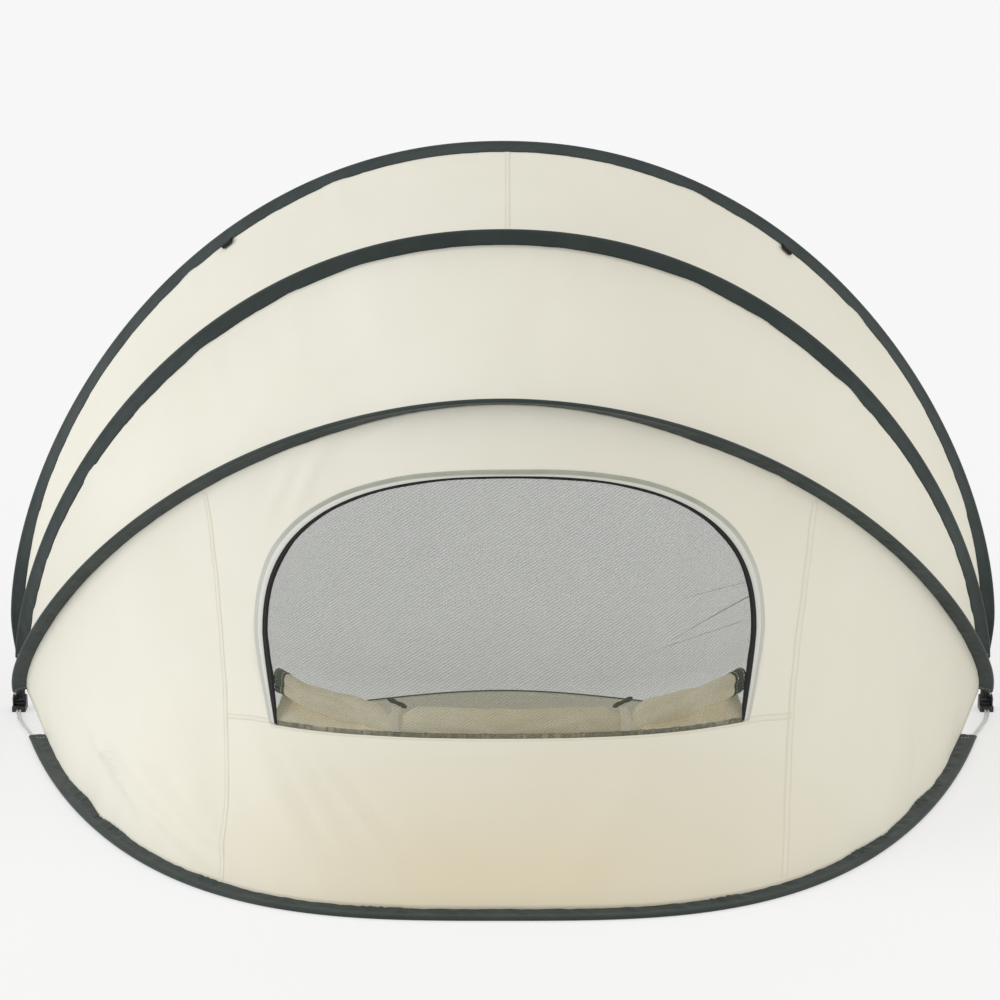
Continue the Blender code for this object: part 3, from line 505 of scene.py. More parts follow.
canopyLook = {"pitch": 0.0011, "depth": 0.00012, "wrinkle": 0.004, "rough": 0.74, "sheen": 0.12, "patch": 3.2,
              "fleck": 0.1}
tapeLook = {"pitch": 0.0016, "depth": 0.0003, "wrinkle": 0.006, "rough": 0.55, "sheen": 0.1, "patch": 14.0,
            "fleck": 0.45}
trimLook = {"pitch": 0.0014, "depth": 0.0002, "wrinkle": 0.001, "rough": 0.8, "sheen": 0.1, "patch": 22.0,
            "fleck": 0.3}
# The canopy carries painted warm light low in the middle of its front wall
canopyCloth = clothMaterial("canopyCloth", (0.815, 0.785, 0.672), (0.785, 0.755, 0.638),
                            {**canopyLook, "paintedWarmLight": (0.75, 0.672, 0.495)})
seamCloth = clothMaterial("seamCloth", (0.81, 0.765, 0.64), (0.79, 0.745, 0.62), trimLook)
coverCloth = clothMaterial("coverCloth", (0.86, 0.79, 0.61), (0.74, 0.64, 0.45),
                           {**canopyLook, "wrinkle": 0.006, "patch": 11.0})
strapCloth = clothMaterial("strapCloth", (0.78, 0.73, 0.6), (0.72, 0.67, 0.54), trimLook)
sleeveTape = clothMaterial("sleeveTape", (0.026, 0.039, 0.035), (0.02, 0.031, 0.028), tapeLook)
zipTape = clothMaterial("zipTape", (0.01, 0.01, 0.01), (0.016, 0.016, 0.016), trimLook)
floorCloth = clothMaterial("floorCloth", (0.7, 0.67, 0.57), (0.65, 0.62, 0.52), {**canopyLook, "wrinkle": 0.008})
# Painted glow on the rolled cover, its straps and the tent floor, for light that comes through the walls
for inside in (coverCloth, strapCloth):
    paintedThroughGlow(inside, 0.14, (1.0, 0.9, 0.68))
paintedThroughGlow(floorCloth, 0.1, (1.0, 0.92, 0.76))


def bindingMaterial():
    # Painted shade: the tape is olive and darker over the arch, where it lies in shade, and paler down the sides, with
    # a lighter edge beside the zip
    material = clothMaterial("windowBinding", (0.42, 0.43, 0.35), (0.36, 0.37, 0.3), trimLook)
    tree = material.node_tree
    colour = tree.nodes["Principled BSDF"].inputs["Base Color"]
    # Painted shade: towards the top of the arch the tape goes over to the darker olive colour
    sides = spanned(tree, axisOf(tree, "Object", "Z"), 0.68, 0.52)
    tone = blendColour(tree, sides, colour.links[0].from_socket, (0.56, 0.56, 0.5))
    edge = spanned(tree, axisOf(tree, "UV", "Y"), 0.0092, 0.0112)
    put(tree, colour, blendColour(tree, edge, tone, (0.68, 0.675, 0.615)))
    return material


def netMaterial(name, threadShare, colour, shade):
    # Fine netting, with the slanting grain that its knitted rows make
    material, tree, shader = newMaterial(name)
    spots = useGroup(tree, mottle, place(tree, "Object"), Patch_Scale=7.0, Speck_Scale=330.0)
    slant = reckon(tree, "MULTIPLY_ADD", axisOf(tree, "UV", "X"), -0.62, axisOf(tree, "UV", "Y"))
    grain = reckon(tree, "SINE", reckon(tree, "MULTIPLY", slant, 2 * math.pi / 0.0056))
    share = reckon(tree, "MULTIPLY_ADD", grain, 0.05,
                   spanned(tree, spots["Specks"], 0.25, 0.75, threadShare - 0.02, threadShare + 0.02))
    # Low down it is pulled thinner over the roll
    low = spanned(tree, axisOf(tree, "Object", "Z"), 0.33, 0.38, 0.78, 1.0)
    mesh = useGroup(tree, threads, place(tree, "UV"), Pitch=0.0011, Thread_Share=reckon(tree, "MULTIPLY", share, low))
    # The open mesh lets the daylight through to the roll behind it
    lit = reckon(tree, "SUBTRACT", 1.0, tree.nodes.new("ShaderNodeLightPath").outputs["Is Shadow Ray"])
    drawn = spanned(tree, spots["Patches"], 0.3, 0.7)
    fill(tree, shader, Base_Color=blendColour(tree, drawn, colour, shade), Roughness=0.7,
         Alpha=reckon(tree, "MULTIPLY", mesh["Cover"], lit), Normal=bump(tree, mesh["Height"], 0.0002, 0.4))
    return material


def hardMaterial(name, colour, shade, rough, metal=0.0, stretch=(1, 1, 1)):
    material, tree, shader = newMaterial(name)
    turned = addNode(tree, "ShaderNodeMapping", Vector=place(tree, "Object"), Scale=stretch).outputs[0]
    spots = useGroup(tree, mottle, turned, Patch_Scale=60.0, Speck_Scale=900.0)
    tone = blendColour(tree, spanned(tree, spots["Patches"], 0.4, 0.7), colour, shade)
    fill(tree, shader, Base_Color=tone, Metallic=metal, Normal=bump(tree, spots["Specks"], 0.00008, 0.6),
         Roughness=spanned(tree, spots["Specks"], 0.3, 0.7, rough - 0.08, rough + 0.08))
    return material


windowBinding = bindingMaterial()
windowNetting = netMaterial("windowNetting", 0.345, (0.062, 0.074, 0.042), (0.084, 0.096, 0.058))
hemNetting = netMaterial("hemNetting", 0.54, (0.05, 0.047, 0.034), (0.11, 0.102, 0.078))
mouldedPlastic = hardMaterial("mouldedPlastic", (0.01, 0.01, 0.01), (0.022, 0.022, 0.021), 0.42)
rodFibre = hardMaterial("rodFibre", (0.74, 0.74, 0.71), (0.6, 0.6, 0.57), 0.32, stretch=(1, 0.2, 0.2))
pinSteel = hardMaterial("pinSteel", (0.56, 0.57, 0.58), (0.45, 0.46, 0.47), 0.3, 1.0)
paleThread = hardMaterial("paleThread", (0.8, 0.79, 0.74), (0.66, 0.65, 0.6), 0.7)
tanThread = hardMaterial("tanThread", (0.62, 0.5, 0.3), (0.52, 0.41, 0.25), 0.7)
darkThread = hardMaterial("darkThread", (0.02, 0.028, 0.026), (0.034, 0.044, 0.041), 0.6)
zipTeeth = hardMaterial("zipTeeth", (0.013, 0.013, 0.014), (0.024, 0.024, 0.025), 0.35)
print("materials ready")


def rowTree():
    # Small rounded grains in a row along every path of a wire mesh, for stitches and teeth
    tree, start, end = newGroup(
        "grainsAlongPath", "GeometryNodeTree",
        [("Geometry", "Paths", None), ("Float", "Spacing", 0.004), ("Float", "Along", 0.0028),
         ("Float", "Across", 0.0007), ("Float", "Height", 0.0007), ("Material", "Finish", None)],
        [("Geometry", "Grains")])
    curve = addNode(tree, "GeometryNodeMeshToCurve", Mesh=start["Paths"]).outputs[0]
    spaced = tree.nodes.new("GeometryNodeResampleCurve")
    spaced.mode = "LENGTH"
    fill(tree, spaced.inputs, Curve=curve, Length=start["Spacing"])
    grain = addNode(tree, "GeometryNodeMeshUVSphere", Segments=5, Rings=4, Radius=0.5).outputs["Mesh"]
    size = addNode(tree, "ShaderNodeCombineXYZ", start["Along"], start["Across"], start["Height"]).outputs[0]
    shaped = addNode(tree, "GeometryNodeTransform", Geometry=grain, Scale=size).outputs[0]
    tangent = tree.nodes.new("GeometryNodeInputTangent").outputs[0]
    turn = addNode(tree, "FunctionNodeAlignRotationToVector", Vector=tangent)
    turn.axis = "X"
    made = addNode(tree, "GeometryNodeInstanceOnPoints", Points=spaced.outputs[0], Instance=shaped,
                   Rotation=turn.outputs[0]).outputs[0]
    for kind in ("GeometryNodeRealizeInstances", "GeometryNodeSetShadeSmooth"):
        made = addNode(tree, kind, Geometry=made).outputs[0]
    finish = addNode(tree, "GeometryNodeSetMaterial", Geometry=made, Material=start["Finish"])
    put(tree, end["Grains"], finish.outputs[0])
    return tree


grains = rowTree()


def grainRows(name, paths, sizes, material):
    points, edges = [], []
    for path in paths:
        first = len(points)
        points += [tuple(p) for p in path]
        edges += [(first + n, first + n + 1) for n in range(len(path) - 1)]
    mesh = bpy.data.meshes.new(name)
    mesh.from_pydata(points, edges, [])
    wire = addObject(name + ".path", mesh)
    rows = wire.modifiers.new("rows", "NODES")
    rows.node_group = grains
    ids = {item.name: item.identifier for item in grains.interface.items_tree if item.in_out == "INPUT"}
    for label, value in {**sizes, "Finish": material}.items():
        rows[ids[label]] = value
    made = bpy.data.meshes.new_from_object(wire.evaluated_get(bpy.context.evaluated_depsgraph_get()))
    made.name = name
    bpy.data.objects.remove(wire, do_unlink=True)
    return addObject(name, made)


stitch = {"Spacing": 0.0042, "Along": 0.003, "Across": 0.0006, "Height": 0.0005}
boldStitch = {"Spacing": 0.0056, "Along": 0.0046, "Across": 0.0016, "Height": 0.001}
tooth = {"Spacing": 0.0026, "Along": 0.0015, "Across": 0.003, "Height": 0.0012}

# Canopy panels
canopy = {"steps": 216, "sideSteps": 10, "rings": 34, "rows": 40, "thickness": 0.0008}
window = {
    "half": 0.4435, "footHalf": 0.4185, "bottom": 0.2755, "bottomRise": 0.0075, "spring": 0.425,
    "top": 0.7265, "fullness": 2.3, "archShare": 0.62, "steps": 330, "sideCurve": 1.3,
}


def windowBottom(x):
    return window["bottom"] + window["bottomRise"] * (1 - (np.asarray(x) / window["footHalf"]) ** 2)


def windowSide(share, inset=0.0):
    # From the left foot over the arch to the right foot, drawn in by inset
    foot, wide = window["footHalf"] - inset, window["half"] - inset
    off = np.abs(share - 0.5)
    half = window["archShare"] / 2
    turn = np.minimum(math.pi * off / window["archShare"], math.pi / 2)
    power = 2 / window["fullness"]
    down = np.clip((off - half) / (0.5 - half), 0, 1)
    archX, archZ = wide * np.sin(turn) ** power, np.maximum(np.cos(turn), 0) ** power
    x = np.where(off <= half, archX, wide - (wide - foot) * down ** window["sideCurve"])
    z = np.where(off <= half, window["spring"] + (window["top"] - inset - window["spring"]) * archZ,
                 window["spring"] - (window["spring"] - window["bottom"]) * down)
    return np.sign(share - 0.5) * x, z


def frontPanel():
    # Rings of faces from the panel's outline in to the window
    steps, side, arch = canopy["steps"], canopy["sideSteps"], window["steps"]
    outer = [(i / steps, 0) for i in range(steps + 1)] + [(1, i / side) for i in range(1, side)]
    outer += [(i / steps, 1) for i in range(steps, -1, -1)] + [(0, i / side) for i in range(side - 1, 0, -1)]
    bottom = len(outer) - arch
    first = (steps - bottom) // 2
    outer = np.array(outer[first:] + outer[:first])
    foot = np.linspace(-window["footHalf"], window["footHalf"], bottom + 1)
    sideX, sideZ = windowSide(np.arange(arch - 1, 0, -1) / arch)
    inner = np.column_stack(onFront(np.concatenate([foot, sideX]), np.concatenate([windowBottom(foot), sideZ])))
    t = np.linspace(0, 1, canopy["rings"] + 1)[:, None, None]
    flat = (outer[None] * (1 - t) + inner[None] * t).reshape(-1, 2)
    faces = gridFaces(len(t), len(outer), wrap=True)
    piece = addPiece("canopyFront", panelSurface(panels["front"], *flat.T), faces, canopyCloth,
                     flat * panels["front"]["size"], canopy["thickness"])
    return fold(piece, "front", flat[:, 1], "front_panel")


def plainPanel(name, label):
    share, rise = np.meshgrid(np.linspace(0, 1, canopy["steps"] + 1), np.linspace(0, 1, canopy["rows"] + 1))
    points = panelSurface(panels[label], share.ravel(), rise.ravel()).reshape(*share.shape, 3)
    piece = gridPiece(name, points, canopyCloth, canopy["thickness"])
    return fold(piece, label, rise.ravel(), label + "_panel")


canopyFront = frontPanel()
canopyMiddle, canopyRear = plainPanel("canopyMiddle", "middle"), plainPanel("canopyRear", "rear")
print("canopy sewn")

# Felled seams on the front panel, as x, z points down the seam in millimetres, with the width in metres
seam = {"lift": 0.0008, "steps": 90, "lines": {
    "seamLeft": ([(-562, 672), (-555, 636), (-545, 591), (-535, 524), (-523, 424), (-511, 269), (-507, 200),
                  (-507, 137), (-510, 75), (-512, 17)], 0.009),
    "seamRight": ([(566, 664), (564.5, 651), (558.5, 617), (548.5, 549), (534, 449), (519.6, 368), (508, 264),
                   (501, 194), (494, 103), (488, 21)], 0.014),
    "seamFootLeft": ([(-511, 269), (-465.5, 277), (-426, 281)], 0.009),
    "seamFootRight": ([(426, 276), (458, 273.5), (508, 264)], 0.012),
}}


def smoothPath(points):
    run = np.concatenate([[0], np.cumsum(np.hypot(*np.diff(points, axis=0).T))])
    at = np.linspace(0, run[-1], seam["steps"])
    path = np.column_stack([np.interp(at, run, points[:, k]) for k in (0, 1)])
    for _ in range(4):
        path[1:-1] = (path[:-2] + path[1:-1] * 2 + path[2:]) / 4
    return path, run[-1]


def frontSeam(name, points, width):
    path, _ = smoothPath(np.array(metres(points)))
    _, rise = onFront(*path.T)
    # Both ends stop just inside the tapes
    path, long = smoothPath(path[(rise > 0.004) & (rise < 0.996)])
    side = unit(np.gradient(path, axis=0))[:, ::-1] * (1, -1)
    wander = 0.0008 * waves(np.linspace(0, long, seam["steps"]), (0.16, 0.09), width * 300)[:, None]

    def line(part, lift):
        return frontSurface(*(path + side * (part * width + wander)).T, lift)

    rows = [line(part, seam["lift"] if abs(part) < 0.5 else 0.0002) for part in (-0.5, -0.42, 0, 0.42, 0.5)]
    edges = [line(part, seam["lift"] + 0.0003) for part in (-0.36, 0.36)]
    return fold(gridPiece(name, rows, seamCloth)), edges


sewnSeams = [frontSeam(name, *line) for name, line in seam["lines"].items()]
seamPieces, seamEdges = [piece for piece, _ in sewnSeams], [edges for _, edges in sewnSeams]
seamStitch = fold(grainRows("seamStitchFront", [edges[k] for k in (1, 0) for edges in seamEdges], stitch, tanThread))
roofSeam = {"share": 0.5028, "run": 3.1, "steps": 60}


def roofLine(off, lift):
    rise = np.linspace(0, 1, roofSeam["steps"])
    return panelSurface(panels["rear"], np.full(len(rise), roofSeam["share"] + off / roofSeam["run"]), rise, lift)


roofRows = [roofLine(off, 0.0006 if abs(off) < 0.006 else 0.0002) for off in (-0.006, -0.005, 0.0, 0.005, 0.006)]
rearSeam = fold(gridPiece("seamRear", roofRows, seamCloth), "rear")
rearStitch = fold(grainRows("seamStitchRear", [roofLine(off, 0.0008) for off in (-0.004, 0.004)], stitch, tanThread),
                  "rear")

# Rod sleeves
sleeveShape = {"steps": 420, "faceSteps": 8, "headSteps": 10, "hem": 0.013, "hemExtra": 0.0005, "stitchAt": 0.93}


def slanted(hoop, distance, part, inset=0.0):
    # The ends are cut at a slant: the seam edge ends before the rod edge does
    left, right = hoop["sleeveStart"], hoop["length"] - hoop["sleeveStart"]
    cutBack = hoop["hemSlant"] * part
    distance = distance + cutBack * np.exp(-(distance - left) / 0.05)
    return distance - cutBack * np.exp(-(right - distance) / 0.05) + inset


def sleevePoints(hoop, distance, part, side):
    # Points on the sleeve: part runs from the rod (0) to the seam (1), side is +1 above and -1 below
    point, way, face = sleeveFrame(hoop, distance)
    head, edge = tent["headRadius"], tent["tapeEdge"]
    reach = head + (sleeveSpread(hoop, distance) - head) * part
    thick = edge + (head * 0.8 - edge) * np.exp(-(reach - head) / 0.006) + 0.0007 * np.sin(math.pi * part)
    fromEnd = np.minimum(distance, hoop["length"] - distance) - hoop["sleeveStart"]
    thick = thick + sleeveShape["hemExtra"] * (1 - 1 / (1 + np.exp(-(fromEnd - sleeveShape["hem"]) / 0.0012)))
    slant = distance + (part - 0.5) * 0.03
    wave = waves(slant, (0.067, 0.041, 0.103, 0.029), hoop["reach"] * 11 + hoop["angle"])
    own = waves(distance, (0.053, 0.031, 0.083), side * 2.1 + hoop["angle"] * 3)
    ripple = np.sin(2 * math.pi * distance / 0.017 + part * 4.0) * 0.0019
    crumple = sum(near * ripple for near, _ in bunched(hoop, distance, 1.6))
    centre = (hoop["pucker"] * wave + crumple) * np.sin(math.pi * np.minimum(part, 0.9) / 1.1)
    bulge = side * thick + centre + hoop["pucker"] * 0.6 * own * side * np.sin(math.pi * part)
    return point + way * reach[:, None] + face * bulge[:, None]


def sleeve(name, node, hoop):
    isBase = hoop is hoops["base"]
    distance = sleeveDistance(hoop, np.linspace(0, 1, sleeveShape["steps"] + 1))
    parts = np.linspace(0, 1, sleeveShape["faceSteps"])
    columns = [sleevePoints(hoop, slanted(hoop, distance, part), part, -1.0) for part in parts[::-1]]
    point, way, face = hoopFrame(hoop, distance)[:3] if isBase else sleeveFrame(hoop, distance)
    for turn in np.linspace(-90, -270, sleeveShape["headSteps"]):
        # Over the base ring's two rods the head is drawn out flat
        shift = tent["baseRodPitch"] / 2 * (-1 if -270 < turn < -90 else 1) if isBase else 0.0
        angle = math.radians(turn)
        columns.append(point + way * (tent["headRadius"] * math.cos(angle) + shift)
                       + face * tent["headRadius"] * math.sin(angle))
    columns += [sleevePoints(hoop, slanted(hoop, distance, part), part, 1.0) for part in parts]
    points = np.stack(columns, axis=1)
    if isBase:
        points[:, :, 2] = np.maximum(points[:, :, 2], 0.0002)
    rows, count = points.shape[:2]
    uv = gridUv(points.transpose(1, 0, 2)).reshape(count, rows, 2).transpose(1, 0, 2).reshape(-1, 2)
    piece = addPiece(name, points.reshape(-1, 3), gridFaces(rows, count, wrap=True), sleeveTape, uv)
    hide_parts(node)
    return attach(piece, hoop["body"])


for label, hoop in hoops.items():
    sleeve("sleeve" + label.capitalize(), "base_sleeve" if label == "base" else label + "_hoop_sleeve", hoop)
    distance = sleeveDistance(hoop, np.linspace(0.0, 1.0, 700))
    part = np.linspace(0.04, 0.985, 24)
    runs, hems = [], []
    for side in (-1.0, 1.0):
        runs.append(sleevePoints(hoop, slanted(hoop, distance, sleeveShape["stitchAt"]), sleeveShape["stitchAt"], side))
        for end, way in ((0, 1), (1, -1)):
            inset = way * (hoop["hemInset"] + 0.0015 * np.sin(part * 5 + end))
            hems.append(sleevePoints(hoop, slanted(hoop, sleeveDistance(hoop, end), part, inset), part, side))
    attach(grainRows("sleeveStitch" + label.capitalize(), runs, stitch, darkThread), hoop["body"])
    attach(grainRows("sleeveHemStitch" + label.capitalize(), hems, boldStitch, paleThread), hoop["body"])
print("sleeves sewn")

# Widths of the black zip and of the binding outside it, over half the arch from its top to its foot
zipShape = {"places": (0, 0.3, 0.45, 0.62, 0.8, 0.93, 1),
            "widths": (0.0048, 0.0056, 0.0084, 0.0102, 0.0122, 0.009, 0.004), "uneven": 0.0007}
bindingShape = {"places": (0, 0.25, 0.45, 0.7, 1), "widths": (0.0105, 0.014, 0.0165, 0.0145, 0.0095),
                "uneven": 0.0005}
archPlaces = np.linspace(0.003, 0.997, window["steps"])


def widthPart(shape, part):
    # A part of a strip's width, all along the window's arch
    wide = np.interp(np.abs(archPlaces - 0.5) * 2, shape["places"], shape["widths"])
    return (wide + shape["uneven"] * waves(archPlaces * 2.2, (0.19, 0.12, 0.31), 0.8)) * part


def windowGrid(insets, lifts):
    # Lines along the arch, each drawn in by its inset
    x, z = windowSide(archPlaces)
    inX, inZ = windowSide(archPlaces, 0.01)
    return np.array([frontSurface(x + (inX - x) * inset / 0.01, z + (inZ - z) * inset / 0.01, lift)
                     for inset, lift in zip(insets, lifts)])


bindingInsets = [widthPart(bindingShape, -part) for part in (1, 0.98, 0.8, 0.55, 0.5, 0.45, 0.22)]
bindingRows = windowGrid(bindingInsets + [0.0, 0.0006, 0.0009],
                         [0.0003, 0.0014, 0.0017, 0.0018, 0.0014, 0.002, 0.0024, 0.0024, 0.002, 0.0012])
binding = fold(gridPiece("windowBinding", bindingRows, windowBinding, 0.0006, -1.0, flip=True),
               node="window_binding")
bindingEdges = windowGrid([widthPart({**bindingShape, "uneven": 0.0007}, -part) for part in (0.88, 0.12)],
                          [0.0021, 0.0027])
bindingStitch = fold(grainRows("bindingStitch", bindingEdges, stitch, paleThread))
zipRows = windowGrid([-0.0015, widthPart(zipShape, 0.5), widthPart(zipShape, 1)], [-0.0002, 0.0007, 0.0004])
zipStrip = fold(gridPiece("windowZip", zipRows, zipTape, 0.0007, -1.0, flip=True), node="window_zip")
teeth = fold(grainRows("zipTeethRow", windowGrid([widthPart(zipShape, 0.62)], [0.0013]), tooth, zipTeeth))

# Tucks are where the net is drawn double: from x, z at the zip, with the width there, to x, z
net = {
    "columns": 150, "rows": 74, "inset": 0.003, "lift": -0.0014,
    "creases": metres([(450, 480, 300, 428, 4.5, 3.0), (450, 505, 300, 494, 10, 2.2), (440, 442, 240, 412, 12, -2.2),
                       (-50, 600, -300, 360, 50, 2.0), (100, 660, -120, 400, 60, -1.6)]),
    "tucks": metres([(444, 482, 296, 430, 2.6), (443, 506, 314, 496, 1.2), (430, 442, 250, 413, 1.0)]),
}


def netGrid():
    wide, foot = window["half"] - net["inset"], window["footHalf"] - net["inset"]
    side = np.linspace(-1, 1, net["columns"] + 1)
    arch = (1 - np.abs(side) ** window["fullness"]) ** (1 / window["fullness"])
    top = window["spring"] + (window["top"] - net["inset"] - window["spring"]) * arch
    low = windowBottom(side * foot) - 0.004
    z = low + (top - low) * np.linspace(0, 1, net["rows"] + 1)[:, None]
    down = np.maximum(0, (window["spring"] - z) / (window["spring"] - window["bottom"]))
    x = side * (wide - (wide - foot) * down ** window["sideCurve"])
    points = frontSurface(x.ravel(), z.ravel(), net["lift"])
    middle = np.full(len(points), 0.5)
    points[:, 1] += creaseHeight({"creases": net["creases"], "size": (1, 1), "drawIn": 0}, points, middle, middle)
    return points.reshape(*x.shape, 3)


windowNet = fold(gridPiece("windowNet", netGrid(), windowNetting), node="window_net")
foot = np.linspace(-window["footHalf"] + 0.001, window["footHalf"] - 0.001, 220)
hemRows = [frontSurface(foot, windowBottom(foot) + up + 0.0008 * waves(foot, (0.021, 0.034, 0.055), 1 + up * 900), lift)
           for up, lift in ((-0.006, -0.002), (0.001, -0.0012), (0.005, -0.0006), (0.0082, -0.001))]
netTrims = [fold(gridPiece("netHem", hemRows, hemNetting))]
for letter, (x0, z0, x1, z1, wide) in zip("ABC", net["tucks"]):
    t = np.linspace(0, 1, 40)
    middle = np.column_stack([x0 + (x1 - x0) * t, z0 + (z1 - z0) * t + 0.003 * np.sin(t * 3)])
    half = np.array([z0 - z1, x1 - x0]) / math.hypot(x1 - x0, z1 - z0) * wide / 2
    sides = [middle + half * (part * (1 - t * 0.9))[:, None] for part in (-1, 1)]
    rows = [frontSurface(at[:, 0] - panels["front"]["aside"], at[:, 1], 0.0002) for at in sides]
    netTrims.append(fold(gridPiece("netTuck" + letter, rows, windowNetting)))
fold(grainRows("sillStitch", [frontSurface(foot, windowBottom(foot) - 0.0035, 0.0007)], stitch, tanThread))
print("window fitted")

# The rolled cover
roll = {
    "halfLength": 0.424, "depth": 0.034, "endHeight": 0.104, "middleHeight": 0.056, "tieHeight": 0.044,
    "fat": 0.052, "fatEnd": 0.046, "fatTied": 0.04, "tiePlace": 0.204, "tieWidth": 0.016, "pinch": 0.034,
    "turns": 3.1, "layer": 0.0025, "steps": 220, "flapSteps": 14, "spiralSteps": 110, "tapeWidth": 0.018,
}


def nearTie(x, room):
    return 1 - easy((np.abs(np.abs(x) - roll["tiePlace"]) - roll["tieWidth"] / 2) / room)


def rollTop(x):
    # How high the roll's crown is above the window's bottom edge
    swell = roll["middleHeight"] + (roll["endHeight"] - roll["middleHeight"]) * (np.abs(x) / roll["halfLength"]) ** 3
    return swell + (roll["tieHeight"] - swell) * nearTie(x, roll["pinch"]) - 0.004


def rollFrame(xs):
    # The foot on the sill, with the directions up the wall and back from it
    low = windowBottom(xs)
    foot, upper = frontSurface(xs, low), frontSurface(xs, low + rollTop(xs))
    return foot, unit(upper - foot), -panelShape(panels["front"], *onFront(xs, low))[1]


def rollGrid(xs, grow=0.0, flap=True):
    # A flap that stands up from the sill behind, then the cloth wound forwards round itself
    foot, up, back = rollFrame(xs)
    end = (np.abs(xs) / roll["halfLength"]) ** 3
    fat = roll["fat"] + (roll["fatEnd"] - roll["fat"]) * end
    fat = np.minimum(fat + (roll["fatTied"] - fat) * nearTie(xs, roll["pinch"]), rollTop(xs) + 0.004)
    free = 1 - nearTie(xs, 0.05)
    high, deep = fat[:, None] / 2, roll["depth"] / 2 * (1 - 0.12 * nearTie(xs, 0.05))[:, None]
    centreUp, centreBack = rollTop(xs)[:, None] - high, 0.002 + deep
    rows = []
    for t in np.linspace(0, 1, roll["flapSteps"] + 1)[:-1] if flap else ():
        level = -0.0035 + (centreUp + 0.0035) * t
        sag = 0.0022 * waves(xs + t * 0.05, (0.11, 0.07, 0.19), 2.6)[:, None] * math.sin(math.pi * t)
        rows.append(foot + up * level + back * (0.0022 + (centreBack + deep - 0.0022) * easy(t * 1.1) + sag))
    for t in np.linspace(0, 1, roll["spiralSteps"]):
        turn = t * roll["turns"] * 2 * math.pi
        shrink = roll["layer"] * turn / (2 * math.pi) - grow
        cosine, sine = math.cos(turn), math.sin(turn)
        # Slanting folds where the cloth was twisted as it was rolled, gathered small at the ties
        folds = np.sin(2 * math.pi * (0.85 * sine - 5.5 * np.abs(xs) + 0.25 * waves(xs, (0.23, 0.11), 1.1)))
        folds = (0.0042 * folds - 0.0016 * np.abs(folds) ** 6) * (0.35 + 0.65 * np.minimum(np.abs(xs) / 0.3, 1)) * free
        gather = 0.0011 * np.sin(2 * math.pi * xs / 0.011 + 3 * sine) * nearTie(xs, 0.03)
        wob = (folds + gather + 0.0012 * waves(xs + t * 0.3, (0.045, 0.083, 0.14), t * 9))[:, None]
        fade = 1 if turn < 2 * math.pi else 0.3
        a = np.maximum(deep - shrink, 0.003) + wob * fade * 0.7 - 0.001
        b = np.maximum(high - shrink, 0.004) + wob * fade * 0.6
        rows.append(foot + up * (centreUp + b * sine) + back * (centreBack + a * cosine))
    return np.array(rows)


def coverTie(name, node, side):
    # A strap round the roll, pulled up into a small neck under its toggle; also gives the neck's top
    xs = side * roll["tiePlace"] + np.linspace(-roll["tieWidth"] / 2, roll["tieWidth"] / 2, 7)
    foot, up, back = rollFrame(xs)
    top = rollTop(xs)[:, None]
    high, deep = top / 2 + 0.004, roll["depth"] / 2 * 0.88 + 0.001
    rows = []
    for turn in np.linspace(0, 2 * math.pi, 49):
        c, s = math.cos(turn), math.sin(turn)
        a, b = deep * math.copysign(abs(c) ** 0.7, c), high * math.copysign(abs(s) ** 0.7, s)
        neck = 0.01 * max(0, s) ** 18
        rows.append(foot + up * (top / 2 - 0.001 + b + neck) + back * (0.002 + deep + a + neck * 0.3))
    return fold(gridPiece(name, rows, strapCloth, 0.0012), node=node), rows[12][3]


toggle = {"half": 0.02, "radius": 0.0046, "above": 0.0062, "slant": 27, "rings": 25, "sides": 20}


def coverToggle(name, node, crown, side):
    # A moulded bar, waisted in the middle where the loop holds it
    crown, slant = crown + np.array([0, 0, toggle["above"]]), side * math.radians(toggle["slant"])
    along = np.linspace(-1, 1, toggle["rings"])
    fat = np.clip(1 - np.abs(along) ** 8, 0, 1) ** 0.5 * (0.86 + 0.14 * np.cos(2 * math.pi * along) * -1)
    fat[0] = fat[-1] = 0.02
    way, back = np.array([math.cos(slant), 0, math.sin(slant)]), np.array([0, 1, 0])
    over = np.cross(way, back)
    turns = np.linspace(0, 2 * math.pi, toggle["sides"] + 1)[:-1]
    points = [crown + way * toggle["half"] * t + (back * math.cos(a) * 0.8 + over * math.sin(a)) * toggle["radius"] * f
              for t, f in zip(along, fat) for a in turns]
    piece = addPiece(name, points, gridFaces(toggle["rings"], toggle["sides"], wrap=True), mouldedPlastic)
    return fold(piece, node=node)


inner = roll["halfLength"] - roll["tapeWidth"]
rollXs = np.linspace(-inner, inner, roll["steps"])
windowCover = fold(gridPiece("windowCover", rollGrid(rollXs), coverCloth, 0.0008, flip=True),
                   node="cover_roll")
coverTrim = []
for label, side in bothSides:
    # The zip tape along the cover's own edge, curled up with it
    xs = np.sort(side * np.linspace(inner - 0.001, roll["halfLength"], 7))
    tape = gridPiece("coverZip" + label, rollGrid(xs, grow=0.0006, flap=False), zipTape, 0.0014, flip=True)
    edge = gridPiece("coverEdge" + label, rollGrid(xs)[:roll["flapSteps"] + 2], coverCloth, 0.0008, flip=True)
    lines = [rollGrid(np.array([side * at]), grow=0.0018, flap=False)[:36, 0] for at in (inner + 0.003, inner + 0.014)]
    coverTrim += [fold(piece) for piece in (
        tape, edge, grainRows("coverZipStitch" + label, lines, boldStitch, paleThread))]
for label, side in bothSides:
    tie, crown = coverTie("coverTie" + label, "cover_tie_" + label.lower(), side)
    coverTrim += [tie, coverToggle("coverToggle" + label, "cover_toggle_" + label.lower(), crown, side)]
print("cover rolled and tied")

# Floor, sill and tabs
floorShape = {
    "run": 0.06, "endRun": 0.006, "rows": 46, "columns": 180, "above": 0.0008,
    "sillHalf": 0.93, "sillBack": 0.03, "sillBulge": 0.088, "sillPower": 8, "sillLift": 0.026,
}


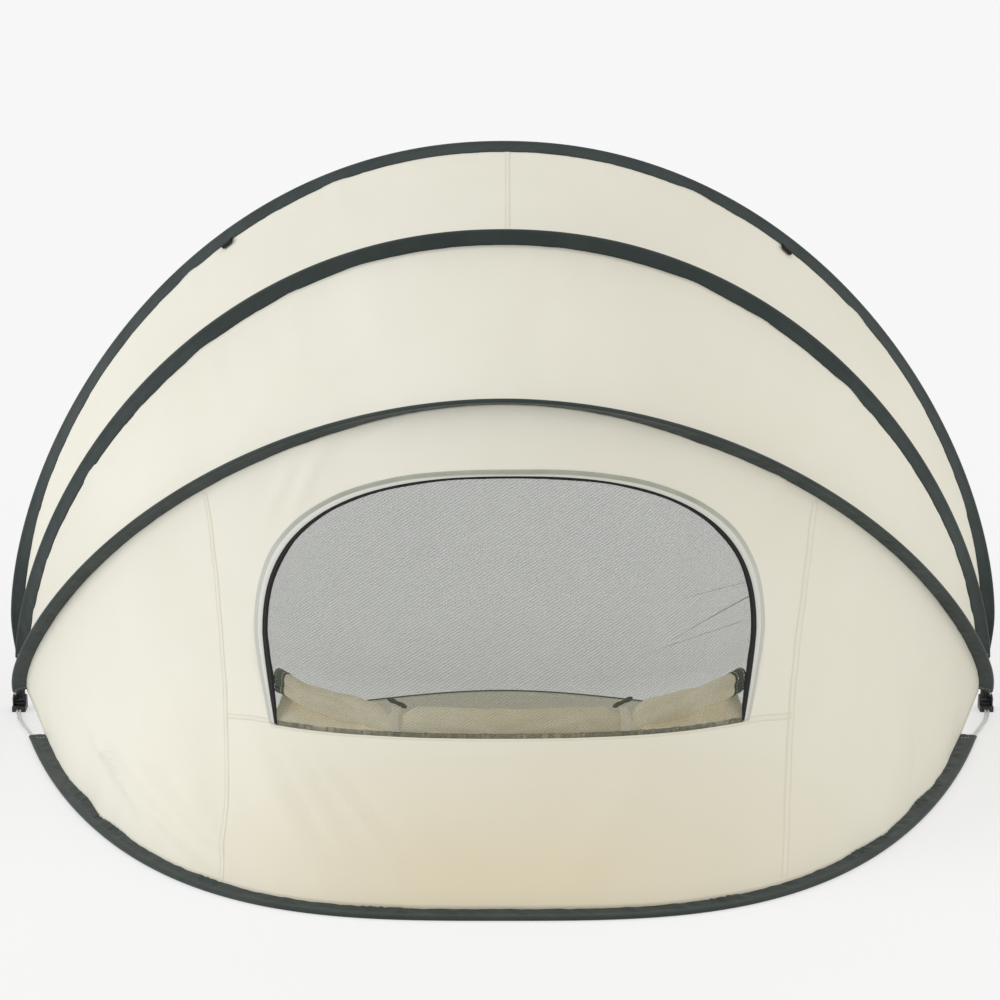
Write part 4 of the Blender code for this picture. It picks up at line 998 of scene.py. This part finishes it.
def sillPoint(share, back=0.0):
    # The sill stands a little off the ground in the middle of the mouth
    side = 2 * share - 1
    ahead = floorShape["sillBulge"] * (1 - (1 - side**2) ** floorShape["sillPower"])
    high = floorShape["sillLift"] * (1 - side**2) ** 2 * (1 - back / 0.12)
    return np.column_stack([side * floorShape["sillHalf"], floorShape["sillBack"] - ahead - back, high])


def floorPiece():
    share = np.linspace(0, 1, floorShape["columns"])
    hoop, above = hoops["base"], floorShape["above"]
    seamLine = seamPoint(hoop, sleeveDistance(hoop, share), tent["tuck"])[0]
    inward = hoopFrame(hoop, sleeveDistance(hoop, share))[1]
    run = floorShape["endRun"] + floorShape["run"] * np.sqrt(np.sin(math.pi * share).clip(0))
    ground = seamLine + inward * run[:, None]
    ground[:, 2] = above
    sill = sillPoint(share)
    rows = []
    for t in np.linspace(0, 1, 9)[:-1]:
        point = seamLine + (ground - seamLine) * t
        point[:, 2] = above + (seamLine[:, 2] - above) * (1 - t) ** 2
        rows.append(point)
    for t in np.linspace(0, 1, floorShape["rows"]):
        point = ground + (sill - ground) * t
        fade = math.sin(math.pi * min(t * 1.02, 1))
        lumps = waves(point[:, 0] + point[:, 1] * 0.4, (0.37, 0.21, 0.13), 2) + waves(point[:, 1], (0.29, 0.17), 3)
        point[:, 2] = sill[:, 2] * easy((t - 0.72) / 0.28) + 0.0009 + 0.0024 * np.maximum(0, lumps) * fade
        rows.append(point)
    piece = gridPiece("floorSheet", rows, floorCloth, 0.0008, flip=True)
    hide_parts("floor")
    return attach(piece, "base")


def sillStrip(rows):
    share = np.linspace(0.001, 0.999, 200)
    return [sillPoint(share, back) + (0, 0, high) for back, high in rows]


floorSheet = floorPiece()
sillRows = sillStrip(((0.02, 0.0016), (0.0195, 0.0026), (0.01, 0.003), (0.0008, 0.0026), (0, 0.0012), (0, 0.0004)))
sillTape = gridPiece("sillBinding", sillRows, seamCloth, 0.0005, -1.0)
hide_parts("sill_tape")
edgeRows = sillStrip(((0.0042, 0.0032), (0.0036, 0.004), (0.0012, 0.004), (0.0004, 0.003)))
sillEdge = gridPiece("sillEdge", edgeRows, sleeveTape, 0.0004, -1.0)
sillStitch = grainRows("sillTapeStitch", sillStrip([(0.0175, 0.0033)]), stitch, tanThread)
for piece in (sillTape, sillEdge, sillStitch):
    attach(piece, "base")
# The tab's loop: how far down the cloth, how far off it, and how wide
tab = {"width": 0.026, "places": {"Left": 0.575, "Right": 0.592}, "loop": (
    (-0.002, 0.0016, 1), (0.004, 0.005, 1), (0.01, 0.0084, 1), (0.015, 0.0094, 0.96), (0.019, 0.007, 0.9),
    (0.018, 0.004, 0.9), (0.01, 0.002, 0.96), (0.0, 0.0012, 1))}


def guyTab(label, side):
    # A short loop of webbing sewn into the mouth hem, standing a little off the cloth
    hoop, panel = hoops["rear"], panels["rear"]
    runs = np.linspace(0, hoop["length"] / 2, 400)
    places = onLine(hoop, hoop["length"] / 2 + runs)[:, 0]
    middle = 0.5 + side * float(np.interp(tab["places"][label], places, runs)) / hoop["length"]
    wide = np.linspace(-0.5, 0.5, 7) * tab["width"] / hoop["length"]
    at = np.array([middle])
    depth = float(np.linalg.norm(seat(hoop, panel["lower"], at) - seat(panel["lower"], hoop, at)))
    rows = [panelSurface(panel, middle + wide * narrow, np.full(7, 1 - down / depth), lift)
            for down, lift, narrow in tab["loop"]]
    piece = gridPiece("guyTab" + label, rows, zipTape, 0.0012)
    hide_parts("guy_tab_" + label.lower())
    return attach(piece, "rear_hoop")


tabs = [guyTab(*each) for each in bothSides]

# Finishes for the frame's own pieces; the first key that a name holds counts
finishes = {"rod_end": mouldedPlastic, "hinge_block": mouldedPlastic, "hinge_pin": pinSteel, "rod": rodFibre}
for name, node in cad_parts.items():
    for key, finish in finishes.items():
        if key in name:
            for slotOf in node.material_slots:
                slotOf.material = finish
            break


def clothArea(piece):
    areas = np.zeros(len(piece.data.polygons), np.float32)
    piece.data.polygons.foreach_get("area", areas)
    return float(areas.sum())


clothArea(canopyFront)
clothArea(canopyMiddle)
clothArea(canopyRear)

# Camera, light and ground
view = {"place": (-0.0057, -5.88, 2.2226), "pitch": 0.293, "focal": 3039.0}
lens = bpy.data.cameras.new("frontCamera")
lens.sensor_width = 36.0
lens.lens = view["focal"] / 1000 * 36.0
lens.clip_end = 200
camera = scene.camera = addObject("frontCamera", lens)
camera.location = view["place"]
camera.rotation_euler = (math.pi / 2 - view["pitch"], 0, 0)
scene.view_settings.view_transform = "Standard"

# Each sun's strength, the way it comes from, its colour and its spread in degrees
light = {
    "sky": 0.74, "skyColour": (0.98, 0.99, 1.0), "backdrop": (0.942, 0.933, 0.933),
    "floorHalf": 60, "floorGlow": (0.464, 0.462, 0.456), "floorShade": (0.5, 0.5, 0.5), "floorBounce": (0.8, 0.8, 0.8),
    "suns": {"leftSun": (1.36, (-0.93, -0.2, 0.3), (0.97, 0.99, 1.04), 40),
             "rightSun": (0.8, (0.93, -0.22, 0.3), (1.03, 1.0, 0.93), 50)},
}


def seenDirectly(tree, out, hidden, shown):
    # Camera, mirror and glass rays see the shown shader, all others the hidden one
    path = tree.nodes.new("ShaderNodeLightPath").outputs
    seen = reckon(tree, "MAXIMUM", path["Is Camera Ray"], path["Is Glossy Ray"])
    seen = reckon(tree, "MAXIMUM", seen, path["Is Transmission Ray"])
    mix = addNode(tree, "ShaderNodeMixShader", seen, hidden.outputs[0], shown.outputs[0])
    addNode(tree, out, Surface=mix.outputs[0])


def paleWorld():
    world = bpy.data.worlds.new("studio")
    world.use_nodes = True
    scene.world = world
    tree = world.node_tree
    tree.nodes.clear()
    soft = addNode(tree, "ShaderNodeBackground", light["skyColour"], light["sky"])
    seenDirectly(tree, "ShaderNodeOutputWorld", soft, addNode(tree, "ShaderNodeBackground", light["backdrop"]))


def softSun(name, strength, fromWhere, colour, spread):
    lamp = bpy.data.lights.new(name, "SUN")
    lamp.energy, lamp.angle, lamp.color = strength, math.radians(spread), colour
    addObject(name, lamp).rotation_euler = Vector(fromWhere).to_track_quat("Z", "Y").to_euler()


def studioFloor():
    # Seen directly, the floor glows pale and still takes the tent's shadow
    size = light["floorHalf"]
    mesh = bpy.data.meshes.new("studioFloor")
    mesh.from_pydata([(-size, -size, 0), (size, -size, 0), (size, size, 0), (-size, size, 0)], [], [(0, 1, 2, 3)])
    material, tree, _ = newMaterial("studioFloor")
    tree.nodes.clear()
    shade = addNode(tree, "ShaderNodeBsdfDiffuse", light["floorShade"])
    glow = addNode(tree, "ShaderNodeEmission", light["floorGlow"])
    both = addNode(tree, "ShaderNodeAddShader", shade.outputs[0], glow.outputs[0])
    bounce = addNode(tree, "ShaderNodeBsdfDiffuse", light["floorBounce"])
    seenDirectly(tree, "ShaderNodeOutputMaterial", bounce, both)
    mesh.materials.append(material)
    addObject("studioFloor", mesh)


paleWorld()
for name, sun in light["suns"].items():
    softSun(name, *sun)
studioFloor()
print("studio set")
